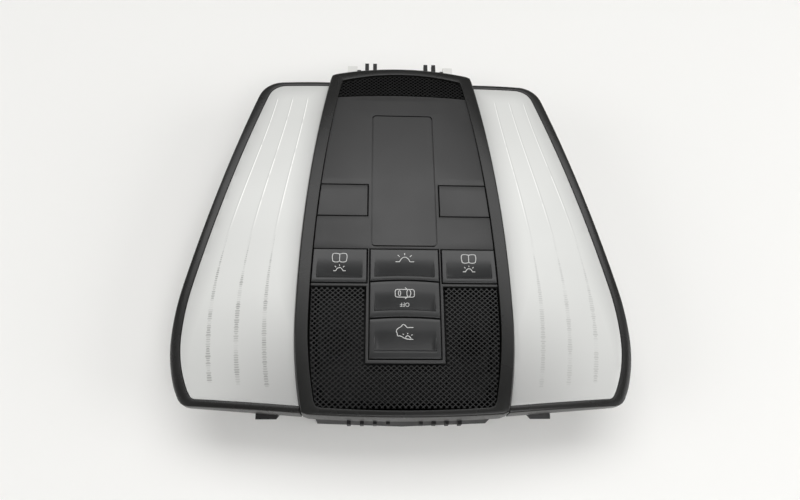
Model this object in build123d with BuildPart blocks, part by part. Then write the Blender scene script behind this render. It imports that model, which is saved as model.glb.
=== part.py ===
from build123d import *
from math import sqrt
import os

# Overhead dome light of a car: a switch console between two lamp wings.
# It lies on its flat back, X across the car, Y to the narrow front end, Z out of the face.
# Sizes are millimetres.

# Heights and curvature of the face
face_height = 52.0
crown_radius = 1000.0
wing_step = 2.0
wing_crest = 50.0
wing_drop_radius = 400.0
wing_tilt = 5.5
rim_skirt = 4.8

# Plan of the console
bezel_half_width = 60.6
bezel_widest_y = -62.0
bezel_front_half = 46.8
bezel_front_corner_y = 110.0
bezel_front_y = 116.5
bezel_rear_half = 55.0
bezel_rear_corner_y = -115.0
bezel_rear_y = -116.8
bezel_corner = 3.0
band_side = 7.2
band_front = 5.5
band_rear = 4.6
opening_corner = 2.5

# Plan of a lamp wing
wing_half_width = 129.2
wing_widest_y = -72.0
wing_bulge_radius = 150.0
wing_bulge_angle = 11.5
wing_front_half = 91.4
wing_front_y = 104.6
wing_rear_half = 120.0
wing_rear_y = -109.3
wing_root = 45.0
wing_root_rear_y = -115.0
wing_front_corner = 15.0
wing_rear_corner = 8.0
rim_side = 5.6
rim_front = 3.3
rim_rear = 4.5
lens_front_corner = 11.0
lens_rear_corner = 4.0

# Walls and clearances
bezel_wall = 1.8
rim_wall = 1.6
fit_gap = 0.25
seat_gap = 0.2
button_gap = 0.35
ledge_width = 1.8
ledge_length = 9.0
ledge_end_x = 30.0
ledge_thickness = 2.0

# Lenses
lens_drop = 0.3
lens_flange = 1.2
lens_overlap = 2.0

# Switch panel and its openings
panel_drop = 0.6
panel_wall = 2.2
panel_front_y = 92.2
panel_front_radius = 426.0
panel_shoulder_y = -45.4
column_half = 21.7
column_rear_y = -88.6
column_corner = 1.0
groove_half = 19.4
groove_front_y = 74.5
groove_rear_y = -20.8
groove_corner = 2.5
groove_width = 0.7
groove_depth = 0.5
cover_inner = 21.4
cover_front_y = 20.7
cover_rear_y = -0.8
cover_tab_wall = 1.2
cover_tab_width = 6.0
cover_tab_reach = 6.0

# Buttons
button_half = 19.7
side_button_inner = 21.4
row_front_y = -22.6
side_rear_y = -43.2
dome_rear_y = -42.4
motion_rear_y = -63.9
auto_rear_y = -86.4
button_split = 0.5
button_drop = 0.1
button_wall = 1.4
scoop_depth = 1.3
scoop_share = 0.66
scoop_slope = 0.9
lip_side = 2.2
lip_rear = 3.0
cap_skirt = 7.0
press_travel = 1.5
stem_width = 5.0
stem_reach = 4.0
side_stem_x = 37.0

# Grilles
grille_drop = 0.6
grille_wall = 1.6
grille_border = 1.6
upper_pitch_x = 9.2
upper_pitch_y = 7.0
lower_pitch_x = 13.6
lower_pitch_y = 11.4
strand_share = 0.3
whole_gap_share = 0.99999

# Rear housing
floor_wall = 2.5
housing_wall = 2.5
housing_inset = 8.0
flange_wall = 2.5
flange_inset = 1.0
prong_half_pitch = 2.8
prong_pair_x = 20.7
prong_width = 2.7
prong_thickness = 3.4
prong_tip_y = 131.5
rear_rib_first = 9.0
rear_rib_pitch = 7.1
rear_rib_count = 4
rear_rib_width = 2.0
rear_rib_height = 5.5
rear_rib_y = -117.8
post_width = 7.0
post_wall_distance = 9.4
post_front_x = 30.0
post_front_y = 80.0
post_rear_y = -95.0
bulb_y = -20.0
well_depth = 4.0
well_radius = 13.0
well_wall = 2.0

# Clips
front_clip_inner = 30.4
front_clip_width = 6.7
front_clip_wall = 1.5
front_clip_height = 6.0
front_clip_tip_y = 130.5
front_clip_return = 8.0
spring_inner = 66.0
spring_width = 15.0
spring_wall = 0.8
spring_out = 1.6
spring_height = 9.0
spring_fall = 2.0
spring_return = 7.0
spring_taper = 4.0

# Inner pieces
carrier_wall = 2.0
carrier_inset = 4.0
sleeve_wall = 1.6
sleeve_reach = 3.0
carrier_room = 0.8
board_wall = 1.6
board_margin = 3.0
board_front_y = 42.0
board_rear_y = -92.0
board_post_inset = 6.0
rubber_height = 7.0
rubber_base_radius = 4.6
rubber_base_height = 2.0
rubber_top_radius = 3.0
rubber_sides = 8
symbol_light_length = 2.4
symbol_light_width = 1.4
symbol_light_height = 0.9
symbol_light_offset = 7.5
plug_length = 30.0
plug_width = 13.0
plug_wall = 1.4
plug_recess = 1.2
plug_y = 12.0
pin_count = 4
pin_pitch = 5.0
pin_width = 0.8
pin_length = 6.0
plug_depth = 11.0
reflector_wall = 1.4
trough_flat = 16.0
trough_rise = 80.0
socket_radius = 9.0
socket_flange_radius = 11.5
socket_flange_wall = 2.4
socket_sides = 8
socket_turn = 22.5
socket_height = 8.0
bulb_radius = 5.2
bulb_height = 20.0
microphone_radius = 5.0
microphone_height = 4.6
microphone_x = 13.0
microphone_y = 99.5
sensor_radius = 8.0
sensor_height = 5.0
sensor_x = 37.0
sensor_y = -76.0
capsule_sides = 12

# Centre of the crown, and the reach of the tools that cut with it
crown_centre = face_height - crown_radius
crown_axis = Axis((0, 0, crown_centre), (1, 0, 0))
wing_radius = crown_radius - wing_step
tool_reach = wing_half_width + wing_crest
tool_sweep = 20.0


def crown_height(depth, y):
    return crown_centre + sqrt((crown_radius - depth) ** 2 - y**2)


def wing_height(depth, x, y):
    across = sqrt((wing_drop_radius - depth) ** 2 - (x - wing_crest) ** 2)
    return crown_centre + sqrt((wing_radius - wing_drop_radius + across) ** 2 - y**2)


seat_height = wing_height(0, wing_rear_half, wing_rear_y) - rim_skirt
flange_height = seat_height - flange_wall


def crown_layer(depth, thickness):
    with BuildPart() as layer:
        with BuildSketch(Plane.YZ):
            with Locations((0, crown_centre)):
                Circle(crown_radius - depth)
                Circle(crown_radius - depth - thickness, mode=Mode.SUBTRACT)
            with Locations((0, face_height)):
                Rectangle(2 * tool_reach, 4 * face_height, mode=Mode.INTERSECT)
        extrude(amount=tool_reach, both=True)
    return layer.part


def wing_layer(depth, thickness):
    start = Plane(origin=(0, 0, crown_centre), x_dir=(1, 0, 0), z_dir=(0, -1, 0))
    radius = wing_drop_radius - depth
    with BuildPart() as layer:
        with BuildSketch(start):
            with Locations((wing_crest, wing_radius - wing_drop_radius)):
                Circle(radius)
                Circle(radius - thickness, mode=Mode.SUBTRACT)
            with Locations((tool_reach / 2, wing_radius)):
                Rectangle(tool_reach, 4 * face_height, mode=Mode.INTERSECT)
        revolve(axis=crown_axis, revolution_arc=tool_sweep)
    return layer.part.rotate(crown_axis, -tool_sweep / 2)


# A layer of the wing's hidden side, which only follows its slope
def wing_inner_layer(depth, thickness):
    crest = Axis((wing_crest, 0, face_height - wing_step), (0, 1, 0))
    return crown_layer(wing_step + depth, thickness).rotate(crest, wing_tilt)


# A flat layer along the chord of the crown between two places on Y
def chord_layer(front_y, rear_y, depth, thickness):
    with BuildPart() as layer:
        with BuildSketch(Plane.YZ):
            with BuildLine():
                Polyline(
                    (front_y, crown_height(depth, front_y)),
                    (rear_y, crown_height(depth, rear_y)),
                    (rear_y, crown_height(depth, rear_y) - thickness),
                    (front_y, crown_height(depth, front_y) - thickness),
                    close=True,
                )
            make_face()
        extrude(amount=tool_reach, both=True)
    return layer.part


def prism(plan, base, layer):
    with BuildPart() as body:
        with BuildSketch(Plane.XY.offset(base)):
            add(plan)
        extrude(amount=2 * face_height)
        add(layer, mode=Mode.INTERSECT)
    return body.part


# Outline of the console, moved in by an inset on its sides, front and rear
def console_plan(side, front, rear, corner):
    widest = (bezel_half_width - side, bezel_widest_y)
    front_corner = (bezel_front_half - side, bezel_front_corner_y - front)
    rear_corner = (bezel_rear_half - side, bezel_rear_corner_y + rear)
    with BuildSketch() as plan:
        with BuildLine():
            TangentArc(widest, front_corner, tangent=(0, 1))
            TangentArc(widest, rear_corner, tangent=(0, -1))
            mirror(about=Plane.YZ)
            ThreePointArc(front_corner, (0, bezel_front_y - front), (-front_corner[0], front_corner[1]))
            ThreePointArc(rear_corner, (0, bezel_rear_y + rear), (-rear_corner[0], rear_corner[1]))
        make_face()
        if corner:
            fillet(plan.vertices().group_by(Axis.Y)[0], corner)
            fillet(plan.vertices().group_by(Axis.Y)[-1], corner)
    return plan.sketch


# Outline of the right wing, which runs under the console as far as its root
def wing_plan(side, front, rear, front_corner, rear_corner):
    widest = (wing_half_width - side, wing_widest_y)
    front_point = (wing_front_half - side, wing_front_y - front)
    rear_point = (wing_rear_half - side, wing_rear_y + rear)
    front_root = (wing_root, wing_front_y - front)
    rear_root = (wing_root, wing_root_rear_y + rear)
    with BuildSketch() as plan:
        with BuildLine():
            bulge = JernArc(widest, (0, 1), wing_bulge_radius, wing_bulge_angle)
            TangentArc(bulge @ 1, front_point, tangent=bulge % 1)
            Polyline(front_point, front_root, rear_root, rear_point)
            TangentArc(widest, rear_point, tangent=(0, -1))
        make_face()
        fillet(plan.vertices().sort_by_distance((*front_point, 0))[0], front_corner)
        fillet(plan.vertices().sort_by_distance((*rear_point, 0))[0], rear_corner)
    return plan.sketch


# Straight-sided plans of the tray under the face, inside the curved outlines
def switch_tray_plan(side, front, rear):
    with BuildSketch() as plan:
        with BuildLine():
            Polyline(
                (0, bezel_front_y - front),
                (bezel_front_half - side, bezel_front_corner_y - front),
                (bezel_half_width - side, bezel_widest_y),
                (bezel_rear_half - side, bezel_rear_corner_y + rear),
                (0, bezel_rear_y + rear),
            )
            mirror(about=Plane.YZ)
        make_face()
    return plan.sketch


def lamp_tray_plan(inset):
    with BuildSketch() as plan:
        with BuildLine():
            Polyline(
                (wing_root, wing_front_y - inset),
                (wing_front_half - inset, wing_front_y - inset),
                (wing_half_width - inset, wing_widest_y),
                (wing_rear_half - inset, wing_rear_y + inset),
                (wing_root, wing_root_rear_y + inset),
                close=True,
            )
        make_face()
    return plan.sketch


def keep(part, name):
    part.label = name
    export_step(part, f"parts/{name}.step")


def keep_pair(part, name):
    keep(part, f"right_{name}")
    keep(mirror(part, about=Plane.YZ, mode=Mode.PRIVATE), f"left_{name}")


os.makedirs("parts", exist_ok=True)

face_solid = crown_layer(0, face_height)
wing_solid = wing_layer(0, face_height)

# Plans that several pieces share
bezel_outline = console_plan(0, 0, 0, bezel_corner)
opening_outline = console_plan(band_side, band_front, band_rear, opening_corner)
fill_outline = console_plan(
    band_side + fit_gap, band_front + fit_gap, band_rear + fit_gap, opening_corner
)
button_outline = console_plan(
    band_side + button_gap, band_front + button_gap, band_rear + button_gap, opening_corner
)
bezel_room = console_plan(-fit_gap, -fit_gap, -fit_gap, 0)
wing_outline = wing_plan(0, 0, 0, wing_front_corner, wing_rear_corner)

# Levels of the pieces under the face, from the button caps down to the board
button_floor = crown_height(0, auto_rear_y) - cap_skirt
carrier_top = button_floor - press_travel - carrier_room
carrier_floor = carrier_top - carrier_wall
stem_floor = carrier_floor - stem_reach
board_top = stem_floor - seat_gap - rubber_height
board_floor = board_top - board_wall
post_x = bezel_half_width - band_side - post_wall_distance
board_half = post_x - post_width / 2 - board_margin
board_post_x = board_half - board_post_inset
dome_y = (row_front_y + dome_rear_y) / 2
motion_y = (dome_rear_y - button_split + motion_rear_y) / 2
auto_y = (motion_rear_y - button_split + auto_rear_y) / 2
side_y = (row_front_y + side_rear_y) / 2
dome_place = (0, dome_y)
motion_place = (0, motion_y)
auto_place = (0, auto_y)
side_place = (side_stem_x, side_y)
stem_places = [dome_place, motion_place, auto_place, side_place, (-side_stem_x, side_y)]
carrier_posts = [(x, post_rear_y) for x in (-post_x, post_x)]
carrier_posts += [(x, post_front_y) for x in (-post_front_x, post_front_x)]
board_posts = [
    (x, y)
    for x in (-board_post_x, board_post_x)
    for y in (board_front_y - board_post_inset, board_rear_y + board_post_inset)
]

# Centre bezel: a hollow band with tabs inside for the panel, the covers and the grilles
ledge_depth = panel_drop + panel_wall + seat_gap
bezel_centre_y = (bezel_front_y + bezel_rear_y) / 2
ledge_places = [
    (panel_front_y + bezel_front_corner_y - band_front) / 2,
    (panel_front_y + cover_front_y) / 2,
    (cover_front_y + cover_rear_y) / 2,
    (panel_shoulder_y + bezel_rear_y) / 2,
]
with BuildSketch() as band_hollow:
    add(console_plan(bezel_wall, bezel_wall, bezel_wall, 0))
    add(
        console_plan(band_side - bezel_wall, band_front - bezel_wall, band_rear - bezel_wall, 0),
        mode=Mode.SUBTRACT,
    )
with BuildSketch() as ledge_tabs:
    with Locations([(0, y) for y in ledge_places]):
        Rectangle(2 * bezel_half_width, ledge_length)
    with Locations([(x, bezel_centre_y) for x in (-ledge_end_x, ledge_end_x)]):
        Rectangle(ledge_length, bezel_front_y - bezel_rear_y)
    add(opening_outline, mode=Mode.INTERSECT)
    add(
        console_plan(band_side + ledge_width, band_front + ledge_width, band_rear + ledge_width, 0),
        mode=Mode.SUBTRACT,
    )
bezel_body = prism(bezel_outline, seat_height, face_solid)
bezel_opening = prism(opening_outline, seat_height, face_solid)
bezel_hollow = prism(band_hollow.sketch, seat_height, crown_layer(bezel_wall, face_height))
bezel_ledge = prism(ledge_tabs.sketch, seat_height, crown_layer(ledge_depth, ledge_thickness))
with BuildPart() as centre_bezel:
    add(bezel_body)
    add(bezel_opening, mode=Mode.SUBTRACT)
    add(bezel_hollow, mode=Mode.SUBTRACT)
    add(bezel_ledge)
keep(centre_bezel.part, "centre_bezel")

# Lens rims: a rolled outer wall and a flange over the edge of the lens
rim_body = prism(wing_outline, seat_height, wing_solid)
rim_window = prism(
    wing_plan(rim_side, rim_front, rim_rear, lens_front_corner, lens_rear_corner),
    seat_height,
    wing_solid,
)
rim_hollow = prism(
    wing_plan(
        rim_wall, rim_wall, rim_wall, wing_front_corner - rim_wall, wing_rear_corner - rim_wall
    ),
    seat_height,
    wing_inner_layer(rim_wall, face_height),
)
console_room = prism(bezel_room, seat_height, face_solid)
with BuildPart() as lens_rim:
    add(rim_body)
    add(rim_window, mode=Mode.SUBTRACT)
    add(rim_hollow, mode=Mode.SUBTRACT)
    add(console_room, mode=Mode.SUBTRACT)
keep_pair(lens_rim.part, "lens_rim")

# Lenses: a milky sheet with a flange held under the rim
with BuildSketch() as lens_area:
    add(
        wing_plan(
            rim_side + fit_gap,
            rim_front + fit_gap,
            rim_rear + fit_gap,
            lens_front_corner,
            lens_rear_corner,
        )
    )
    add(bezel_room, mode=Mode.SUBTRACT)
with BuildSketch() as flange_area:
    add(
        wing_plan(
            rim_wall + fit_gap,
            rim_wall + fit_gap,
            rim_wall + fit_gap,
            wing_front_corner - rim_wall,
            wing_rear_corner - rim_wall,
        )
    )
    add(
        wing_plan(
            rim_side + lens_overlap,
            rim_front + lens_overlap,
            rim_rear + lens_overlap,
            lens_front_corner,
            lens_rear_corner,
        ),
        mode=Mode.SUBTRACT,
    )
    add(bezel_room, mode=Mode.SUBTRACT)
lens_under = wing_inner_layer(rim_wall + seat_gap, lens_flange)
with BuildPart() as lens_body:
    add(wing_layer(lens_drop, face_height))
    add(wing_inner_layer(rim_wall + seat_gap + lens_flange, face_height), mode=Mode.SUBTRACT)
lens_sheet = prism(lens_area.sketch, seat_height, lens_body.part)
lens_edge = prism(flange_area.sketch, seat_height, lens_under)
with BuildPart() as lens:
    add(lens_sheet)
    add(lens_edge)
keep_pair(lens.part, "lens")

# Switch panel, with openings for the covers and the buttons
column_front_y = row_front_y + button_gap
cover_y = (cover_front_y + cover_rear_y) / 2
with BuildSketch() as panel_area:
    add(fill_outline)
    with Locations((0, panel_front_y - panel_front_radius)):
        Circle(panel_front_radius - fit_gap, mode=Mode.INTERSECT)
    with Locations((0, panel_shoulder_y)):
        Rectangle(
            2 * bezel_half_width,
            panel_shoulder_y - bezel_rear_y,
            align=(Align.CENTER, Align.MAX),
            mode=Mode.SUBTRACT,
        )
    with Locations((0, column_rear_y)):
        Rectangle(2 * column_half, column_front_y - column_rear_y, align=(Align.CENTER, Align.MIN))
    fillet(panel_area.vertices().group_by(Axis.Y)[0], column_corner)
    with Locations((0, column_front_y)):
        Rectangle(
            2 * (button_half + button_gap),
            column_front_y - auto_rear_y + button_gap,
            align=(Align.CENTER, Align.MAX),
            mode=Mode.SUBTRACT,
        )
    for side in (-1, 1):
        with Locations((side * (side_button_inner - button_gap + bezel_half_width / 2), side_y)):
            Rectangle(
                bezel_half_width,
                row_front_y - side_rear_y + 2 * button_gap,
                mode=Mode.SUBTRACT,
            )
        with Locations((side * (cover_inner - button_gap + bezel_half_width / 2), cover_y)):
            Rectangle(
                bezel_half_width,
                cover_front_y - cover_rear_y + 2 * button_gap,
                mode=Mode.SUBTRACT,
            )
with BuildSketch() as groove_area:
    with Locations((0, (groove_front_y + groove_rear_y) / 2)):
        RectangleRounded(2 * groove_half, groove_front_y - groove_rear_y, groove_corner)
        RectangleRounded(
            2 * (groove_half - groove_width),
            groove_front_y - groove_rear_y - 2 * groove_width,
            groove_corner - groove_width,
            mode=Mode.SUBTRACT,
        )
panel_sheet = prism(panel_area.sketch, seat_height, crown_layer(panel_drop, panel_wall))
panel_groove = prism(groove_area.sketch, seat_height, crown_layer(panel_drop, groove_depth))
with BuildPart() as switch_panel:
    add(panel_sheet)
    add(panel_groove, mode=Mode.SUBTRACT)
keep(switch_panel.part, "switch_panel")

# Blank covers: plates on the bezel ledge, each with a tab that locates it in its opening
with BuildSketch() as cover_area:
    add(button_outline)
    with Locations((cover_inner + bezel_half_width / 2, cover_y)):
        Rectangle(bezel_half_width, cover_front_y - cover_rear_y, mode=Mode.INTERSECT)
cover_sheet = prism(cover_area.sketch, seat_height, crown_layer(panel_drop, panel_wall))
with BuildPart() as blank_cover:
    add(cover_sheet)
    with BuildSketch(Plane.XY.offset(crown_height(panel_drop + panel_wall / 2, cover_y))):
        with Locations((cover_inner + cover_tab_wall, cover_y)):
            Rectangle(cover_tab_wall, cover_tab_width)
    extrude(amount=-cover_tab_reach)
keep_pair(blank_cover.part, "blank_cover")


# A push button: a hollow cap with a scoop that deepens to its rear lip, and a stem for its switch dome
def push_button(area, place):
    box = area.bounding_box()
    scoop_front = box.min.Y + scoop_share * box.size.Y
    scoop_rear = box.min.Y + lip_rear
    lip_top = crown_height(button_drop, scoop_rear)
    stem_top = crown_height(button_drop, place[1]) - scoop_depth - button_wall / 2
    roof_depth = button_drop + scoop_depth + button_wall
    body = prism(area, button_floor, crown_layer(button_drop, face_height))
    with BuildSketch() as hollow_area:
        add(area)
        offset(amount=-button_wall)
    hollow = prism(hollow_area.sketch, button_floor, crown_layer(roof_depth, face_height))
    with BuildPart() as button:
        add(body)
        with BuildSketch(Plane.YZ.offset(box.min.X + lip_side)):
            with BuildLine():
                Polyline(
                    (scoop_front, crown_height(button_drop, scoop_front)),
                    (scoop_rear, lip_top - scoop_depth),
                    (scoop_rear - scoop_slope, lip_top),
                    (scoop_rear - scoop_slope, face_height),
                    (scoop_front, face_height),
                    close=True,
                )
            make_face()
        extrude(amount=box.size.X - 2 * lip_side, mode=Mode.SUBTRACT)
        add(hollow, mode=Mode.SUBTRACT)
        with BuildSketch(Plane.XY.offset(stem_floor)):
            with Locations(place):
                Rectangle(stem_width, stem_width)
        extrude(amount=stem_top - stem_floor)
    return button.part


def centre_button_area(front_y, rear_y):
    with BuildSketch() as area:
        with Locations((0, (front_y + rear_y) / 2)):
            Rectangle(2 * button_half, front_y - rear_y)
    return area.sketch


with BuildSketch() as side_button_area:
    add(button_outline)
    with Locations((side_button_inner + bezel_half_width / 2, side_y)):
        Rectangle(bezel_half_width, row_front_y - side_rear_y, mode=Mode.INTERSECT)
dome_area = centre_button_area(row_front_y, dome_rear_y)
motion_area = centre_button_area(dome_rear_y - button_split, motion_rear_y)
auto_area = centre_button_area(motion_rear_y - button_split, auto_rear_y)
keep(push_button(dome_area, dome_place), "dome_button")
keep(push_button(motion_area, motion_place), "motion_sensor_button")
keep(push_button(auto_area, auto_place), "auto_light_button")
keep_pair(push_button(side_button_area.sketch, side_place), "reading_button")


# Diamond gaps of a grille, those that its border would cut being left closed
def mesh_gaps(area, pitch_x, pitch_y):
    half_x = pitch_x / 2 * (1 - strand_share)
    half_y = pitch_y / 2 * (1 - strand_share)
    box = area.bounding_box()
    columns = 2 * int(box.size.X / pitch_x / 2) + 1
    rows = 2 * int(box.size.Y / pitch_y / 2) + 1
    smallest_gap = 2 * half_x * half_y * whole_gap_share
    with BuildSketch() as gaps:
        with Locations((0, box.center().Y)):
            with GridLocations(pitch_x, pitch_y, columns, rows):
                Polygon((half_x, 0), (0, half_y), (-half_x, 0), (0, -half_y))
            with GridLocations(pitch_x, pitch_y, columns + 1, rows + 1):
                Polygon((half_x, 0), (0, half_y), (-half_x, 0), (0, -half_y))
        add(area, mode=Mode.INTERSECT)
    return gaps.faces().filter_by(lambda gap: gap.area > smallest_gap)


# Upper grille, with the microphone that stands on the switch carrier below it
with BuildSketch() as upper_area:
    add(fill_outline)
    with Locations((0, panel_front_y - panel_front_radius)):
        Circle(panel_front_radius, mode=Mode.SUBTRACT)
with BuildSketch() as upper_mesh_area:
    add(upper_area.sketch)
    offset(amount=-grille_border)
upper_gaps = mesh_gaps(upper_mesh_area.sketch, upper_pitch_x, upper_pitch_y)
upper_layer = chord_layer(bezel_front_y, groove_front_y, grille_drop, grille_wall)
upper_sheet = prism(upper_area.sketch, seat_height, upper_layer)
with BuildPart() as upper_grille:
    add(upper_sheet)
    with BuildSketch(Plane.XY.offset(seat_height)):
        add(upper_gaps)
    extrude(amount=face_height, mode=Mode.SUBTRACT)
keep(upper_grille.part, "upper_grille")
with BuildPart() as microphone:
    with BuildSketch(Plane.XY.offset(carrier_top)):
        with Locations((microphone_x, microphone_y)):
            RegularPolygon(microphone_radius, capsule_sides)
    extrude(amount=microphone_height)
keep(microphone.part, "microphone")

# Lower grille, which runs round the button column, and its two motion sensors
with BuildSketch() as lower_area:
    add(fill_outline)
    with Locations((0, panel_shoulder_y - fit_gap)):
        Rectangle(
            2 * bezel_half_width,
            bezel_front_y - panel_shoulder_y,
            align=(Align.CENTER, Align.MIN),
            mode=Mode.SUBTRACT,
        )
    with Locations((0, column_rear_y - fit_gap)):
        Rectangle(
            2 * (column_half + fit_gap),
            panel_shoulder_y - column_rear_y,
            align=(Align.CENTER, Align.MIN),
            mode=Mode.SUBTRACT,
        )
with BuildSketch() as lower_mesh_area:
    add(lower_area.sketch)
    offset(amount=-grille_border)
lower_gaps = mesh_gaps(lower_mesh_area.sketch, lower_pitch_x, lower_pitch_y)
lower_layer = chord_layer(panel_shoulder_y, bezel_rear_y, grille_drop, grille_wall)
lower_sheet = prism(lower_area.sketch, seat_height, lower_layer)
with BuildPart() as lower_grille:
    add(lower_sheet)
    with BuildSketch(Plane.XY.offset(seat_height)):
        add(lower_gaps)
    extrude(amount=face_height, mode=Mode.SUBTRACT)
keep(lower_grille.part, "lower_grille")
with BuildPart() as motion_sensor:
    with BuildSketch(Plane.XY.offset(carrier_top)):
        with Locations((sensor_x, sensor_y)):
            RegularPolygon(sensor_radius, capsule_sides)
    extrude(amount=sensor_height)
keep_pair(motion_sensor.part, "motion_sensor")

# Rear housing: a tray with a lamp room in each wing and a switch room in the middle
room_side = band_side - bezel_wall
room_front = band_front - bezel_wall
room_rear = band_rear - bezel_wall
switch_walls = switch_tray_plan(room_side, room_front, room_rear)
switch_room = switch_tray_plan(
    room_side + housing_wall, room_front + housing_wall, room_rear + housing_wall
)
flange_console = console_plan(flange_inset, flange_inset, flange_inset, 0)
lamp_walls = lamp_tray_plan(housing_inset)
lamp_inset = housing_inset + housing_wall
lamp_room = lamp_tray_plan(lamp_inset)
flange_wing = wing_plan(
    flange_inset,
    flange_inset,
    flange_inset,
    wing_front_corner - flange_inset,
    wing_rear_corner - flange_inset,
)
lamp_slope = (wing_half_width - wing_front_half) / (wing_front_y - lamp_inset - wing_widest_y)
lamp_edge = wing_half_width - lamp_inset - lamp_slope * (bulb_y - wing_widest_y)
bulb_x = (bezel_half_width + lamp_edge) / 2
socket_places = [(-bulb_x, bulb_y), (bulb_x, bulb_y)]
prong_places = [
    (side * (prong_pair_x + step), prong_tip_y)
    for side in (-1, 1)
    for step in (-prong_half_pitch, prong_half_pitch)
]
rear_rib_places = [
    (side * (rear_rib_first + number * rear_rib_pitch), rear_rib_y)
    for side in (-1, 1)
    for number in range(rear_rib_count)
]
with BuildPart() as rear_housing:
    with BuildSketch():
        add(lamp_walls)
        mirror(about=Plane.YZ)
        add(switch_walls)
    extrude(amount=flange_height)
    with BuildSketch(Plane.XY.offset(flange_height)):
        add(flange_wing)
        mirror(about=Plane.YZ)
        add(flange_console)
    extrude(amount=flange_wall)
    with BuildSketch(Plane.XY.offset(floor_wall)):
        add(lamp_room)
        mirror(about=Plane.YZ)
        add(switch_walls, mode=Mode.SUBTRACT)
        add(switch_room)
    extrude(amount=flange_height - floor_wall, mode=Mode.SUBTRACT)
    with BuildSketch(Plane.XY.offset(flange_height)):
        add(lamp_room)
        mirror(about=Plane.YZ)
        add(flange_console, mode=Mode.SUBTRACT)
        add(switch_room)
    extrude(amount=flange_wall, mode=Mode.SUBTRACT)
    with BuildSketch(Plane.XY.offset(seat_height - prong_thickness)):
        with Locations(prong_places):
            Rectangle(prong_width, prong_tip_y - bezel_front_corner_y, align=(Align.CENTER, Align.MAX))
    extrude(amount=prong_thickness)
    with BuildSketch(Plane.XY.offset(flange_height - rear_rib_height)):
        with Locations(rear_rib_places):
            Rectangle(
                rear_rib_width,
                bezel_rear_corner_y + room_rear - rear_rib_y,
                align=(Align.CENTER, Align.MIN),
            )
    extrude(amount=rear_rib_height)
    with BuildSketch(Plane.XY.offset(floor_wall / 2)):
        with Locations(carrier_posts):
            Rectangle(post_width, post_width)
    extrude(amount=carrier_floor - floor_wall / 2)
    with BuildSketch(Plane.XY.offset(floor_wall / 2)):
        with Locations(board_posts):
            Rectangle(post_width, post_width)
    extrude(amount=board_floor - floor_wall / 2)
    with BuildSketch(Plane.XY.offset(floor_wall / 2)):
        with Locations(socket_places):
            RegularPolygon(well_radius + well_wall, socket_sides, major_radius=False, rotation=socket_turn)
    extrude(amount=well_depth + floor_wall / 2)
    with BuildSketch():
        with Locations(socket_places):
            RegularPolygon(well_radius, socket_sides, major_radius=False, rotation=socket_turn)
    extrude(amount=well_depth, mode=Mode.SUBTRACT)
    with BuildSketch():
        with Locations(socket_places):
            RegularPolygon(socket_radius + fit_gap, socket_sides, major_radius=False, rotation=socket_turn)
        with Locations((0, plug_y)):
            Rectangle(plug_length + 2 * fit_gap, plug_width + 2 * fit_gap)
    extrude(amount=well_depth + floor_wall, mode=Mode.SUBTRACT)
keep(rear_housing.part, "rear_housing")


# Front edge of the switch room wall at a distance from the middle
def room_front_edge(x):
    slope = (bezel_front_corner_y - bezel_front_y) / (bezel_front_half - room_side)
    return bezel_front_y - room_front + slope * x


# Rear edge of a lamp room wall, or of the wing outline with no inset
def wing_rear_edge(inset, x):
    slope = (wing_rear_y - wing_root_rear_y) / (wing_rear_half - inset - wing_root)
    return wing_root_rear_y + inset + slope * (x - wing_root)


# Front clips: folded spring tongues under the flange, on either side of the prongs
clip_level = flange_height - seat_gap - front_clip_wall / 2
clip_back = room_front_edge(front_clip_inner) + seat_gap + front_clip_wall / 2
with BuildPart() as front_clip:
    with BuildSketch(Plane.YZ.offset(front_clip_inner)):
        with BuildLine() as clip_path:
            Polyline(
                (clip_back, clip_level - front_clip_height),
                (clip_back, clip_level),
                (front_clip_tip_y, clip_level),
                (front_clip_tip_y, clip_level - front_clip_height),
                (front_clip_tip_y - front_clip_return, clip_level - front_clip_height),
            )
        trace(clip_path.line, front_clip_wall)
    extrude(amount=front_clip_width)
keep_pair(front_clip.part, "front_clip")

# Spring clips: bent steel leaves that stand out under the rear edge of each wing
spring_back = wing_rear_edge(housing_inset, spring_inner) - seat_gap - spring_wall / 2
spring_crest = wing_rear_edge(0, spring_inner + spring_width) - spring_out
spring_top = flange_height - seat_gap - spring_wall / 2
with BuildPart() as spring_clip:
    with BuildSketch(Plane.YZ.offset(spring_inner)):
        with BuildLine() as spring_path:
            Polyline(
                (spring_back, spring_top - spring_height),
                (spring_back, spring_top),
                (spring_crest, spring_top - spring_fall),
                (spring_crest + spring_return, spring_top - spring_height),
            )
        trace(spring_path.line, spring_wall)
    extrude(amount=spring_width)
    with BuildSketch(Plane.XY.offset(flange_height)):
        with BuildLine():
            Polyline(
                (spring_inner, spring_crest - spring_out),
                (spring_inner + spring_taper, spring_crest - spring_out),
                (spring_inner, spring_crest + spring_return),
                close=True,
            )
        make_face()
    extrude(amount=-2 * spring_height, mode=Mode.SUBTRACT)
keep_pair(spring_clip.part, "spring_clip")

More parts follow.
